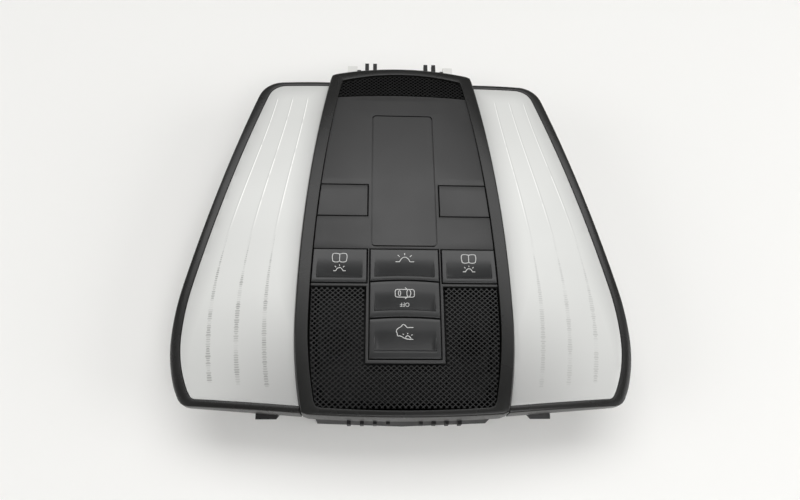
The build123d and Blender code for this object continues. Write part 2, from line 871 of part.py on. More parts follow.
# Reflectors: white sheets folded to a trough in the lamp rooms, open round the bulb socket
trough_floor = floor_wall + seat_gap
trough_line = trough_floor + reflector_wall / 2
socket_room = 2 * (well_radius + well_wall + fit_gap)
with BuildSketch() as reflector_area:
    add(lamp_tray_plan(lamp_inset + fit_gap))
    add(
        console_plan(flange_inset - fit_gap, flange_inset - fit_gap, flange_inset - fit_gap, 0),
        mode=Mode.SUBTRACT,
    )
with BuildPart() as reflector:
    with BuildSketch(Plane.XY.offset(trough_floor)):
        add(reflector_area.sketch)
    extrude(amount=seat_height - trough_floor)
    with BuildSketch(Plane.XZ):
        with BuildLine() as trough_path:
            Polyline(
                (bulb_x - wing_half_width, trough_line + trough_rise),
                (bulb_x - trough_flat, trough_line),
                (bulb_x + trough_flat, trough_line),
                (bulb_x + wing_half_width, trough_line + trough_rise),
            )
        trace(trough_path.line, reflector_wall)
    extrude(amount=2 * bezel_front_y, both=True, mode=Mode.INTERSECT)
    with BuildSketch():
        with Locations((bulb_x, bulb_y)):
            Rectangle(socket_room, socket_room)
    extrude(amount=seat_height, mode=Mode.SUBTRACT)
keep_pair(reflector.part, "reflector")

# Eight-sided bulb sockets, let into the wells of the housing floor, and their bulbs
socket_flange_top = well_depth - seat_gap
socket_top = socket_flange_top + socket_height
bulb_floor = socket_top + seat_gap
with BuildPart() as bulb_socket:
    with BuildSketch(Plane.XY.offset(socket_flange_top)):
        with Locations((bulb_x, bulb_y)):
            RegularPolygon(socket_flange_radius, socket_sides, major_radius=False, rotation=socket_turn)
    extrude(amount=-socket_flange_wall)
    with BuildSketch(Plane.XY.offset(socket_flange_top)):
        with Locations((bulb_x, bulb_y)):
            RegularPolygon(socket_radius, socket_sides, major_radius=False, rotation=socket_turn)
    extrude(amount=socket_height)
keep_pair(bulb_socket.part, "bulb_socket")
with BuildPart() as bulb:
    with BuildSketch(Plane.XY.offset(bulb_floor)):
        with Locations((bulb_x, bulb_y)):
            RegularPolygon(bulb_radius, capsule_sides)
    extrude(amount=bulb_height)
keep_pair(bulb.part, "bulb")

# Switch carrier: a plate on the posts of the housing, with a sleeve for each button stem
carrier_area = switch_tray_plan(
    band_side + carrier_inset, band_front + carrier_inset, band_rear + carrier_inset
)
sleeve_bore = stem_width + 2 * button_gap
sleeve_width = sleeve_bore + 2 * sleeve_wall
with BuildPart() as switch_carrier:
    with BuildSketch(Plane.XY.offset(carrier_floor)):
        add(carrier_area)
    extrude(amount=carrier_wall)
    with BuildSketch(Plane.XY.offset(carrier_floor)):
        with Locations(stem_places):
            Rectangle(sleeve_width, sleeve_width)
    extrude(amount=carrier_wall + sleeve_reach)
    with BuildSketch(Plane.XY.offset(carrier_floor)):
        with Locations(stem_places):
            Rectangle(sleeve_bore, sleeve_bore)
    extrude(amount=carrier_wall + sleeve_reach, mode=Mode.SUBTRACT)
keep(switch_carrier.part, "switch_carrier")

# Circuit board, its symbol lights and its plug connector
with BuildPart() as circuit_board:
    with BuildSketch(Plane.XY.offset(board_floor)):
        with Locations((0, (board_front_y + board_rear_y) / 2)):
            Rectangle(2 * board_half, board_front_y - board_rear_y)
    extrude(amount=board_wall)
keep(circuit_board.part, "circuit_board")
symbol_light_places = [(x, y + symbol_light_offset) for x, y in stem_places]
with BuildPart() as symbol_lights:
    with BuildSketch(Plane.XY.offset(board_top)):
        with Locations(symbol_light_places):
            Rectangle(symbol_light_length, symbol_light_width)
    extrude(amount=symbol_light_height)
keep(symbol_lights.part, "symbol_lights")
with BuildPart() as board_connector:
    with BuildSketch(Plane.XY.offset(plug_recess)):
        with Locations((0, plug_y)):
            Rectangle(plug_length, plug_width)
    extrude(amount=board_floor - plug_recess)
    with BuildSketch(Plane.XY.offset(plug_recess)):
        with Locations((0, plug_y)):
            Rectangle(plug_length - 2 * plug_wall, plug_width - 2 * plug_wall)
    extrude(amount=plug_depth, mode=Mode.SUBTRACT)
    with BuildSketch(Plane.XY.offset(plug_recess + plug_depth)):
        with Locations((0, plug_y)):
            with GridLocations(pin_pitch, pin_pitch, pin_count, 2):
                Rectangle(pin_width, pin_width)
    extrude(amount=-pin_length)
keep(board_connector.part, "board_connector")

# Rubber switch domes on the board, one under each stem
dome_names = ["dome", "motion", "auto", "right_reading", "left_reading"]
for dome_name, place in zip(dome_names, stem_places):
    with BuildPart() as rubber_dome:
        with BuildSketch(Plane.XY.offset(board_top)):
            with Locations(place):
                RegularPolygon(rubber_base_radius, rubber_sides)
        extrude(amount=rubber_base_height)
        with BuildSketch(Plane.XY.offset(board_top)):
            with Locations(place):
                RegularPolygon(rubber_top_radius, rubber_sides)
        extrude(amount=rubber_height)
    keep(rubber_dome.part, f"{dome_name}_switch_dome")
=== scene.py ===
import math

import bmesh
import bpy
from mathutils import Matrix, Vector


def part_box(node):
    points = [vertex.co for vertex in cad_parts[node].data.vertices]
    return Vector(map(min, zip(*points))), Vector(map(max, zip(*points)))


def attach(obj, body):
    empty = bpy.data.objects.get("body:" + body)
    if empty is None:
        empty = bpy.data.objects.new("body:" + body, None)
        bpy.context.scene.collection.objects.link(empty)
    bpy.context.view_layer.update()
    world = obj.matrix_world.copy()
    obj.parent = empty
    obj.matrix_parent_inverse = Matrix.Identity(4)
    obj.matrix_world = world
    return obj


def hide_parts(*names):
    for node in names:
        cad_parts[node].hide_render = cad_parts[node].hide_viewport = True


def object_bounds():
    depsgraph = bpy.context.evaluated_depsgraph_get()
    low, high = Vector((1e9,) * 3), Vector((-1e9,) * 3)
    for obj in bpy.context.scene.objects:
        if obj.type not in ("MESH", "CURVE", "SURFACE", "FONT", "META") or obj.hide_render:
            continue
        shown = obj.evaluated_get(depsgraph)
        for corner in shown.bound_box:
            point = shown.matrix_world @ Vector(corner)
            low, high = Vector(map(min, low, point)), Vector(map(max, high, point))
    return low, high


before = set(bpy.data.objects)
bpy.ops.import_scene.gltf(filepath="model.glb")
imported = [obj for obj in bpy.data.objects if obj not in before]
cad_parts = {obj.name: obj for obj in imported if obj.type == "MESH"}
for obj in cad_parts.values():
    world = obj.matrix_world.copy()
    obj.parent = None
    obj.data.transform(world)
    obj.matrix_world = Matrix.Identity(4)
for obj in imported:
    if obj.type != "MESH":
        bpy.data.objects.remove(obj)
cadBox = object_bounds()
mm = 0.001  # sizes below are millimetres, the frame is metres
sides = (("right", 1), ("left", -1))
cutDist, mergeDist, wideMerge = 1e-5, 1e-4, 1e-3  # how close counts as touching

# shape of the face: one long crown for the console, a domed wing on each side
face = {
    "height": cadBox[1].z / mm, "seat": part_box("centre_bezel")[0].z / mm,
    "crownRadius": 1000.0, "wingStep": 2.0, "wingCrest": 50.0, "wingDropRadius": 400.0,
}


def crownHeight(depth, y):
    radius = face["crownRadius"]
    return face["height"] - radius + math.sqrt((radius - depth) ** 2 - y * y)


def wingHeight(depth, x, y):
    drop = face["wingDropRadius"]
    across = math.sqrt((drop - depth) ** 2 - (abs(x) - face["wingCrest"]) ** 2)
    radius = face["crownRadius"] - face["wingStep"] - drop + across
    return face["height"] - face["crownRadius"] + math.sqrt(radius**2 - y * y)


def arcFrom(start, tangent, end, count):
    start, end = Vector(start), Vector(end)
    tangent = Vector(tangent).normalized()
    chord = end - start
    normal = Vector((-tangent.y, tangent.x))
    centre = start + normal * (chord.length_squared / (2 * chord.dot(normal)))
    sweep = 2 * math.atan2(tangent.cross(chord), tangent.dot(chord))
    spoke = start - centre
    return [centre + Matrix.Rotation(sweep * i / count, 2) @ spoke for i in range(count + 1)]


# plan of the console, right half from the front middle to the rear middle
console = {
    "halfWidth": 60.6, "widestY": -62.0,
    "frontHalf": 46.8, "frontCornerY": 110.0, "frontY": 116.5,
    "rearHalf": 55.0, "rearCornerY": -115.0, "rearY": -116.8,
    "sidePoints": 36, "endPoints": 12, "corner": 3.0,
}


def consoleSide(side, front, rear):
    widest = (console["halfWidth"] - side, console["widestY"])
    frontCorner = (console["frontHalf"] - side, console["frontCornerY"] - front)
    rearCorner = (console["rearHalf"] - side, console["rearCornerY"] + rear)
    ahead = arcFrom(widest, (0, 1), frontCorner, console["sidePoints"])
    behind = arcFrom(widest, (0, -1), rearCorner, console["sidePoints"] // 3)
    return ahead[::-1] + behind[1:]


def consoleHalf(side, front, rear):
    edge = consoleSide(side, front, rear)
    ends = console["endPoints"]
    ahead = arcFrom((0, console["frontY"] - front), (1, 0), edge[0], ends)
    behind = arcFrom((0, console["rearY"] + rear), (1, 0), edge[-1], ends)
    return ahead[:-1] + edge + behind[::-1][1:]


def sideX(side, y):
    edge = consoleSide(side, 0, 0)
    for ahead, behind in zip(edge, edge[1:]):
        if behind.y <= y <= ahead.y:
            return behind.x + (ahead.x - behind.x) * (y - behind.y) / (ahead.y - behind.y)
    return edge[0].x if y > edge[0].y else edge[-1].x


# plan of the right wing, from its front root round to its rear root
wing = {
    "halfWidth": 129.2, "widestY": -72.0, "bulgeRadius": 150.0, "bulgeAngle": 11.5,
    "frontHalf": 91.4, "frontY": 104.6, "rearHalf": 120.0, "rearY": -109.3,
    "root": 45.0, "rootRearY": -115.0, "frontCorner": 15.0, "rearCorner": 8.0,
    "bulgePoints": 6, "flankPoints": 30, "tailPoints": 8, "cornerPoints": 8, "cornerClear": 1.0,
}


def roundCorner(before, corner, after, radius, count):
    # arc that touches both lines at the corner
    before, corner, after = Vector(before), Vector(corner), Vector(after)
    back, ahead = (before - corner).normalized(), (after - corner).normalized()
    half = back.angle(ahead) / 2
    reach = radius / math.tan(half)
    return arcFrom(corner + back * reach, -back, corner + ahead * reach, count)


def wingEdge(side, front, rear, frontCorner, rearCorner):
    widest = Vector((wing["halfWidth"] - side, wing["widestY"]))
    angle = math.radians(wing["bulgeAngle"])
    radius = wing["bulgeRadius"]
    bulgeEnd = widest + Vector((radius * (math.cos(angle) - 1), radius * math.sin(angle)))
    frontPoint = Vector((wing["frontHalf"] - side, wing["frontY"] - front))
    rearPoint = Vector((wing["rearHalf"] - side, wing["rearY"] + rear))
    frontRoot = Vector((wing["root"], wing["frontY"] - front))
    rearRoot = Vector((wing["root"], wing["rootRearY"] + rear))
    bulge = arcFrom(widest, (0, 1), bulgeEnd, wing["bulgePoints"])
    flank = arcFrom(bulgeEnd, (-math.sin(angle), math.cos(angle)), frontPoint, wing["flankPoints"])
    tail = arcFrom(widest, (0, -1), rearPoint, wing["tailPoints"])
    count, clear = wing["cornerPoints"], wing["cornerClear"]
    # a point some steps along each arc gives its direction at the corner
    frontTurn = roundCorner(frontRoot, frontPoint, flank[-6], frontCorner, count)
    rearTurn = roundCorner(tail[-4], rearPoint, rearRoot, rearCorner, count)
    flank = [p for p in flank if p.y < frontTurn[-1].y - clear]
    tail = [p for p in tail if p.y > rearTurn[0].y + clear]
    flank = flank[::-1] + bulge[::-1][1:] + tail[1:]
    return [frontRoot] + frontTurn + flank + rearTurn + [rearRoot]


def evenly(points, count):
    # the same path in equal steps
    lengths = [0.0]
    for a, b in zip(points, points[1:]):
        lengths.append(lengths[-1] + (b - a).length)
    spread = []
    step = 0
    for i in range(count + 1):
        place = lengths[-1] * i / count
        while step < len(points) - 2 and lengths[step + 1] < place:
            step += 1
        share = (place - lengths[step]) / (lengths[step + 1] - lengths[step])
        spread.append(points[step].lerp(points[step + 1], share))
    return spread


print("plans ready")


# bmesh helpers: work flat in millimetres, then follow the crown or the wing
def loopOf(bm, points):
    return [bm.verts.new((p.x, p.y, 0)) for p in points]


def stripBetween(bm, outer, inner, closed):
    a, b = loopOf(bm, outer), loopOf(bm, inner)
    pairs = list(zip(a, b))
    for (p, q), (r, s) in zip(pairs, pairs[1:] + (pairs[:1] if closed else [])):
        bm.faces.new((p, q, s, r))


def plateOf(bm, points):
    bm.faces.new(loopOf(bm, points))


def faceOut(bm):
    bmesh.ops.recalc_face_normals(bm, faces=bm.faces[:])


def raiseBy(bm, height):
    bm.normal_update()
    lifted = bmesh.ops.extrude_face_region(bm, geom=bm.faces[:], use_keep_orig=True)["geom"]
    lifted = [v for v in lifted if isinstance(v, bmesh.types.BMVert)]
    bmesh.ops.translate(bm, vec=(0, 0, height), verts=lifted)
    faceOut(bm)


def rollEdges(bm, keep, radius, segments):
    edges = [e for e in bm.edges if keep(e)]
    bmesh.ops.bevel(
        bm, geom=edges, offset=radius, segments=segments, profile=0.5, affect="EDGES",
        material=-1, offset_type="OFFSET", clamp_overlap=True,
    )


def raiseRolled(bm, height, radius, segments):
    raiseBy(bm, height)
    rollEdges(bm, lambda e: isTopEdge(e, height), radius, segments)


def isTopEdge(edge, height):
    atTop = all(abs(v.co.z - height) < mergeDist for v in edge.verts)
    return atTop and any(abs(f.normal.z) < 0.5 for f in edge.link_faces)  # beside a wall


def rollAlong(bm, points, height, radius, segments):
    # roll the top edge that stands on a plan loop
    places = {(round(p.x, 3), round(p.y, 3)) for p in points}

    def onLoop(edge):
        return all((round(v.co.x, 3), round(v.co.y, 3)) in places for v in edge.verts)

    rollEdges(bm, lambda e: isTopEdge(e, height) and onLoop(e), radius, segments)


def cutAt(bm, axis, places):
    for place in places:
        point, normal = [0, 0, 0], [0, 0, 0]
        point[axis], normal[axis] = place, 1
        geom = bm.verts[:] + bm.edges[:] + bm.faces[:]
        bmesh.ops.bisect_plane(bm, geom=geom, dist=cutDist, plane_co=point, plane_no=normal)


def spaced(low, high, step):
    # places between the two ends, about a step apart
    count = max(1, round((high - low) / step))
    return [low + (high - low) * i / count for i in range(1, count)]


def downSide(inset, high, low, step):
    # points down the console's side, from high to low along y
    return [Vector((sideX(inset, y), y)) for y in [high] + spaced(low, high, step)[::-1] + [low]]


def shapeTop(bm, fromZ, top):
    for v in bm.verts:
        if v.co.z > fromZ:
            v.co.z = top(v.co.x, v.co.y, v.co.z)


def onCrown(bm, drop, wall=0.0):
    for v in bm.verts:
        v.co.z += crownHeight(drop, v.co.y) - wall


def addObject(name, data):
    made = bpy.data.objects.new(name, data)
    bpy.context.scene.collection.objects.link(made)
    return made


def finishPiece(bm, name, body, material, node=None, sharp=32, flip=False):
    if flip:
        bmesh.ops.scale(bm, vec=(-1, 1, 1), verts=bm.verts[:])
    bmesh.ops.remove_doubles(bm, verts=bm.verts[:], dist=mergeDist)
    faceOut(bm)
    if bm.calc_volume(signed=True) < 0:
        bmesh.ops.reverse_faces(bm, faces=bm.faces[:])
    bmesh.ops.scale(bm, vec=(mm, mm, mm), verts=bm.verts[:])
    for f in bm.faces:
        f.smooth = True
    mesh = bpy.data.meshes.new(name)
    bm.to_mesh(mesh)
    bm.free()
    mesh.set_sharp_from_angle(angle=math.radians(sharp))
    piece = addObject(name, mesh)
    piece.data.materials.append(finish[material])
    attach(piece, body)
    if node:
        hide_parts(node)


# shader helpers, and the grain that all plastics share
def newGroup(name, inputs, outputs):
    group = bpy.data.node_groups.new(name, "ShaderNodeTree")
    for label, kind, value in inputs:
        socket = group.interface.new_socket(label, in_out="INPUT", socket_type=kind)
        socket.default_value = value
    for label, kind in outputs:
        group.interface.new_socket(label, in_out="OUTPUT", socket_type=kind)
    nodes = group.nodes
    return group, nodes.new("NodeGroupInput"), nodes.new("NodeGroupOutput")


def feed(tree, node, links):
    # link or set the inputs of a node
    for socket, source in links.items():
        if isinstance(source, bpy.types.NodeSocket):
            tree.links.new(source, node.inputs[socket])
        else:
            node.inputs[socket].default_value = source


def addNode(tree, kind, links=None, **values):
    node = tree.nodes.new(kind)
    for key, value in values.items():
        setattr(node, key, value)
    feed(tree, node, links or {})
    return node


def newMaterial(name):
    material = bpy.data.materials.new(name)
    material.use_nodes = True
    tree = material.node_tree
    return material, tree, tree.nodes["Principled BSDF"]


def maths(tree, kind, a, b):
    return addNode(tree, "ShaderNodeMath", {0: a, 1: b}, operation=kind).outputs[0]


def noise(tree, vector, scale, detail=2.0, roughness=0.5):
    links = {"Vector": vector, "Scale": scale, "Detail": detail, "Roughness": roughness}
    return addNode(tree, "ShaderNodeTexNoise", links).outputs["Fac"]


def blend(tree, factor, under, over):
    links = {"Factor": factor, "A": under, "B": over}
    return addNode(tree, "ShaderNodeMix", links, data_type="RGBA").outputs["Result"]


def remap(tree, value, low, high, start, end, kind="LINEAR"):
    links = {"Value": value, "From Min": low, "From Max": high, "To Min": start, "To Max": end}
    return addNode(tree, "ShaderNodeMapRange", links, interpolation_type=kind).outputs["Result"]


def partsOf(tree, vector):
    return addNode(tree, "ShaderNodeSeparateXYZ", {0: vector}).outputs


def objectPlace(tree):
    return addNode(tree, "ShaderNodeTexCoord").outputs["Object"]


grainLook = {
    "fineScale": 2600.0, "patchScale": 26.0, "patchRange": (0.35, 0.65),
    "dust": (0.16, 0.155, 0.15, 1), "relief": 0.0001,
}


def moulded():
    number, colour = "NodeSocketFloat", "NodeSocketColor"
    group, given, out = newGroup(
        "mouldedGrain",
        [("Grain Size", number, 900.0), ("Dirt", number, 0.15), ("Tone", colour, (0.1, 0.1, 0.1, 1)),
         ("Sheen Low", number, 0.4), ("Sheen High", number, 0.6)],
        [("Color", colour), ("Roughness", number), ("Height", number)],
    )
    place = objectPlace(group)
    cells = addNode(group, "ShaderNodeTexVoronoi", {"Vector": place, "Scale": given.outputs["Grain Size"]},
                    feature="SMOOTH_F1")
    fine = noise(group, place, grainLook["fineScale"])
    patch = noise(group, place, grainLook["patchScale"], 4.0, 0.6)
    grain = maths(group, "ADD", cells.outputs["Distance"], fine)
    sheen = (given.outputs["Sheen Low"], given.outputs["Sheen High"])
    spread = remap(group, patch, *grainLook["patchRange"], *sheen)
    dusty = maths(group, "MULTIPLY", patch, given.outputs["Dirt"])
    dust = blend(group, dusty, given.outputs["Tone"], grainLook["dust"])
    feed(group, out, {"Color": dust, "Roughness": spread, "Height": grain})
    return group


grainGroup = moulded()


def plastic(name, tone, grainSize, bump, dirt, sheen, specular=0.5):
    material, tree, shader = newMaterial(name)
    given = {
        "Grain Size": grainSize, "Dirt": dirt, "Tone": (*tone, 1),
        "Sheen Low": sheen[0], "Sheen High": sheen[1],
    }
    grain = addNode(tree, "ShaderNodeGroup", given, node_tree=grainGroup).outputs
    relief = addNode(tree, "ShaderNodeBump",
                     {"Strength": bump, "Distance": grainLook["relief"], "Height": grain["Height"]})
    feed(tree, shader, {
        "Base Color": grain["Color"], "Roughness": grain["Roughness"],
        "Normal": relief.outputs["Normal"], "Specular IOR Level": specular,
    })
    return material


plastics = {  # tone, grain size, bump, dust, roughness from and to, specular
    "bezelPlastic": ((0.0095, 0.0095, 0.009), 1100, 0.14, 0.02, (0.25, 0.31), 0.37),
    "rimPlastic": ((0.0095, 0.0093, 0.0088), 1100, 0.14, 0.02, (0.25, 0.31), 0.42),
    "panelPlastic": ((0.017, 0.017, 0.0172), 1500, 0.08, 0.05, (0.36, 0.45)),
    "buttonPlastic": ((0.015, 0.0155, 0.016), 1500, 0.05, 0.03, (0.28, 0.36)),
    "meshPlastic": ((0.009, 0.009, 0.009), 1500, 0.05, 0.02, (0.34, 0.45), 0.42),
    "fineMeshPlastic": ((0.004, 0.004, 0.004), 1500, 0.05, 0.01, (0.5, 0.6), 0.18),
    "housingPlastic": ((0.010, 0.010, 0.0105), 900, 0.20, 0.04, (0.45, 0.6), 0.35),
    "springPaint": ((0.006, 0.006, 0.006), 2200, 0.05, 0.02, (0.3, 0.45), 0.3),
    "clipPlastic": ((0.78, 0.78, 0.75), 900, 0.04, 0.10, (0.3, 0.4)),
    "reflectorPlastic": ((0.80, 0.80, 0.78), 900, 0.03, 0.05, (0.15, 0.25)),
    "socketPlastic": ((0.05, 0.05, 0.05), 900, 0.10, 0.10, (0.45, 0.6)),
    "boardCoat": ((0.02, 0.10, 0.045), 400, 0.05, 0.05, (0.25, 0.4)),
    "connectorPlastic": ((0.52, 0.50, 0.44), 900, 0.06, 0.10, (0.4, 0.55)),
    "switchRubber": ((0.16, 0.16, 0.165), 900, 0.10, 0.10, (0.6, 0.75)),
    "lightPlastic": ((0.75, 0.75, 0.68), 900, 0.02, 0.05, (0.2, 0.3)),
    "sensorCan": ((0.60, 0.60, 0.61), 900, 0.03, 0.10, (0.25, 0.4)),
}
finish = {name: plastic(name, *values) for name, values in plastics.items()}

# painted shade on the sensor tops, seen through the grille holes
paintedShadeLook = {"tone": (0.004, 0.004, 0.004, 1), "facing": 0.7, "specular": 0.05}


def paintedShadeTop(material):
    # painted shade: the upward faces of a metal can are near-black, standing for the dark behind the grille
    tree = material.node_tree
    shader = tree.nodes["Principled BSDF"]
    place = addNode(tree, "ShaderNodeTexCoord")
    shadedTop = maths(tree, "GREATER_THAN", partsOf(tree, place.outputs["Normal"])["Z"], paintedShadeLook["facing"])
    metal = shader.inputs["Base Color"].links[0].from_socket
    feed(tree, shader, {
        "Base Color": blend(tree, shadedTop, metal, paintedShadeLook["tone"]),
        "Metallic": maths(tree, "SUBTRACT", 1.0, shadedTop),
        "Specular IOR Level": paintedShadeLook["specular"],
    })


paintedShadeTop(finish["sensorCan"])

bulbLook = {"tone": (0.95, 0.95, 0.94, 1), "hazeScale": 300.0, "roughness": (0.02, 0.12)}


def bulbGlassMaterial():
    material, tree, shader = newMaterial("bulbGlass")
    haze = noise(tree, objectPlace(tree), bulbLook["hazeScale"])
    rough = remap(tree, haze, 0.0, 1.0, *bulbLook["roughness"])
    feed(tree, shader, {"Base Color": bulbLook["tone"], "Roughness": rough, "Transmission Weight": 1.0})
    return material


finish["bulbGlass"] = bulbGlassMaterial()

# milky lens: pairs are from and to, along y or x in millimetres, or in line pitches
lensLook = {
    "tone": (0.71, 0.715, 0.695, 1), "shade": (0.36, 0.36, 0.355, 1),
    "tick": (0.20, 0.20, 0.19, 1), "glint": (0.98, 0.98, 0.96, 1),
    # painted shade by the rim and at the inner rear corner of the lens
    "edgeWidth": 13.0, "edgeShade": 0.33,
    "rearY": (-35.0, -118.0), "rearX": (112.0, 58.0), "rearShade": (0.35, 0.85),
    "cloudSize": 18.0, "cloudRange": (0.3, 0.7), "cloudShade": 0.06, "roughness": (0.24, 0.40),
    "lineFront": (91.5, 87.0), "lineRear": (-101.5, -99.5), "lineStagger": 1.7,
    "lineSeed": 7.3, "alongSeed": 0.12, "wingSeed": 13.7, "quickScale": 7.0,
    "tickPitch": 1.3, "tickY": (14.0, -40.0), "tickShare": (0.12, 0.68), "tickGap": 0.22,
    "tickEdge": (1.15, 0.7), "tickRange": (0.30, 0.60), "toothRange": (-0.5, 0.6),
    "reachY": (-12.0, -62.0), "reach": (0.020, 0.082), "raggedRange": (0.3, 0.7), "ragged": (0.6, 1.25),
    "shadowAside": 0.05, "shadowY": (-30.0, 10.0), "shadowShare": 0.22,
    # painted highlight: the glints along the front of the lines
    "glintWidth": (0.042, 0.012), "glintY": (-18.0, 18.0),
    "glintRange": (0.30, 0.46), "glintShare": (0.30, 1.0),
    "rightTicks": 0.5, "rightGlints": 0.65,  # the right lines are painted fainter, for the different light on the right wing
}


def lensMilk():
    look = lensLook
    material, tree, shader = newMaterial("lensMilk")

    def calc(kind, a, b=0.5):
        return maths(tree, kind, a, b)

    def times(first, *others):
        for other in others:
            first = calc("MULTIPLY", first, other)
        return first

    def ramp(value, low, high, start=0.0, end=1.0):
        return remap(tree, value, low, high, start, end, "SMOOTHSTEP")

    def uvParts(name):
        return partsOf(tree, addNode(tree, "ShaderNodeUVMap", uv_map=name).outputs["UV"])

    line, border = uvParts("guideLines"), uvParts("border")
    across, along = line["X"], line["Y"]
    fromEdge, outward = border["X"], border["Y"]
    place = objectPlace(tree)
    cloud = noise(tree, place, look["cloudSize"], 3.0)

    # painted shade: the milk is greyer by the rim and at the inner rear corner
    edgeShade = ramp(fromEdge, look["edgeWidth"], 0.0, 0.0, look["edgeShade"])
    rearShade = times(ramp(along, *look["rearY"]), ramp(outward, *look["rearX"], *look["rearShade"]))
    patchy = ramp(cloud, *look["cloudRange"], 0.0, look["cloudShade"])
    shaded = calc("ADD", calc("MAXIMUM", edgeShade, rearShade), patchy)
    milk = blend(tree, shaded, look["tone"], look["shade"])

    # nearest of three lines, in line pitches; the inner lines reach further back
    nearest = calc("MINIMUM", calc("MAXIMUM", calc("ROUND", across), 0.0), 2.0)
    signed = calc("SUBTRACT", across, nearest)
    away = calc("ABSOLUTE", signed)
    tail = calc("SUBTRACT", along, times(nearest, look["lineStagger"]))
    inside = times(ramp(tail, *look["lineRear"]), ramp(along, *look["lineFront"]))

    # each line of each wing has its own slow and quick unevenness
    onRight = calc("GREATER_THAN", partsOf(tree, place)["X"], 0.0)
    own = addNode(tree, "ShaderNodeCombineXYZ", {
        "X": times(nearest, look["lineSeed"]), "Y": times(along, look["alongSeed"]),
        "Z": times(onRight, look["wingSeed"]),
    }).outputs[0]
    uneven, quick = noise(tree, own, 1.0, 1.0), noise(tree, own, look["quickScale"], 1.0)

    # grey ticks at the rear, with a soft shadow beside the line further on
    ragged = ramp(quick, *look["raggedRange"], *look["ragged"])
    reach = times(ramp(along, *look["reachY"], *look["reach"]), ragged)
    wide = times(ramp(calc("DIVIDE", away, reach), *look["tickEdge"]), inside)
    teeth = calc("SINE", times(calc("ADD", along, quick), 2 * math.pi / look["tickPitch"]))
    tooth = ramp(teeth, *look["toothRange"], look["tickGap"])
    rear = times(ramp(along, *look["tickY"]), ramp(uneven, *look["tickRange"], *look["tickShare"]))
    # painted light: ticks fainter on the right wing, where the light falls differently
    rear = times(rear, ramp(onRight, 0.0, 1.0, 1.0, look["rightTicks"]))
    ticks = times(wide, tooth, rear)
    aside = look["shadowAside"]
    besides = times(ramp(calc("ABSOLUTE", calc("SUBTRACT", signed, aside)), aside, 0.0), inside)
    shadow = times(besides, ramp(along, *look["shadowY"], 0.0, look["shadowShare"]))
    inked = blend(tree, calc("MAXIMUM", ticks, shadow), milk, look["tick"])

    # painted highlight: bright thin glints along the lines at the front
    thin = times(ramp(away, *look["glintWidth"]), inside)
    front = times(ramp(along, *look["glintY"]), ramp(uneven, *look["glintRange"], *look["glintShare"]))
    # painted light: glints fainter on the right wing, where the light falls differently
    front = times(front, ramp(onRight, 0.0, 1.0, 1.0, look["rightGlints"]))
    lit = blend(tree, times(thin, front), inked, look["glint"])
    smear = remap(tree, cloud, 0.0, 1.0, *look["roughness"])
    feed(tree, shader, {"Base Color": lit, "Roughness": smear})
    return material


finish["lensMilk"] = lensMilk()

printLook = {
    "tones": ((0.52, 0.52, 0.51, 1), (0.62, 0.62, 0.61, 1)), "speckScale": 2500.0, "roughness": 0.5,
}


def printMaterial():
    material, tree, shader = newMaterial("symbolPrint")
    specks = noise(tree, objectPlace(tree), printLook["speckScale"])
    tone = blend(tree, specks, *printLook["tones"])
    feed(tree, shader, {"Base Color": tone, "Roughness": printLook["roughness"]})
    return material


finish["symbolPrint"] = printMaterial()
print("materials ready")

# centre bezel: a band with a rolled outer edge
bezel = {
    "side": 7.2, "front": 5.5, "rear": 3.6,
    "roll": 1.0, "innerRoll": 0.4,
    "frontCorner": 0.8, "rearCorner": 2.5, "cornerPoints": 5, "cornerClear": 0.5,
    "frontPoints": 16, "sidePoints": 64, "rearPoints": 16,
}


def roundedHalf(half, frontRadius, rearRadius):
    # right half of a loop from front middle to rear middle, with its corners rounded
    count, clear = console["endPoints"], bezel["cornerClear"]
    side = len(half) - count - 1
    frontTurn = roundCorner(half[count - 3], half[count], half[count + 2], frontRadius, bezel["cornerPoints"])
    rearTurn = roundCorner(half[side - 2], half[side], half[side + 3], rearRadius, bezel["cornerPoints"])
    ahead = [p for p in half[:count] if p.x < frontTurn[0].x - clear]
    flank = [p for p in half[count + 1:side] if rearTurn[0].y + clear < p.y < frontTurn[-1].y - clear]
    behind = [p for p in half[side + 1:] if p.x < rearTurn[-1].x - clear]
    return ahead + frontTurn + flank + rearTurn + behind


def nearestTo(points, place):
    return min(range(len(points)), key=lambda i: (points[i] - Vector(place)).length)


def bezelLoop(side, front, rear, corners):
    half = roundedHalf(consoleHalf(side, front, rear), *corners)
    frontTurn = nearestTo(half, (console["frontHalf"] - side, console["frontCornerY"] - front))
    rearTurn = nearestTo(half, (console["rearHalf"] - side, console["rearCornerY"] + rear))
    right = evenly(half[:frontTurn + 1], bezel["frontPoints"])[:-1]
    right += evenly(half[frontTurn:rearTurn + 1], bezel["sidePoints"])[:-1]
    right += evenly(half[rearTurn:], bezel["rearPoints"])
    return right + [Vector((-p.x, p.y)) for p in right[::-1][1:-1]]


def makeBezel():
    bm = bmesh.new()
    outer = bezelLoop(0, 0, 0, (console["corner"], console["corner"]))
    corners = (bezel["frontCorner"], bezel["rearCorner"])
    inner = bezelLoop(bezel["side"], bezel["front"], bezel["rear"], corners)
    stripBetween(bm, outer, inner, True)
    height = face["height"] - face["seat"]
    raiseBy(bm, height)
    rollAlong(bm, outer, height, bezel["roll"], 5)
    rollAlong(bm, inner, height, bezel["innerRoll"], 3)
    shapeTop(bm, height / 2, lambda x, y, z: z + crownHeight(0, y) - face["height"])
    bmesh.ops.translate(bm, vec=(0, 0, face["seat"]), verts=bm.verts[:])
    finishPiece(bm, "centreBezel", "console", "bezelPlastic", "centre_bezel")


makeBezel()
print("bezel done")

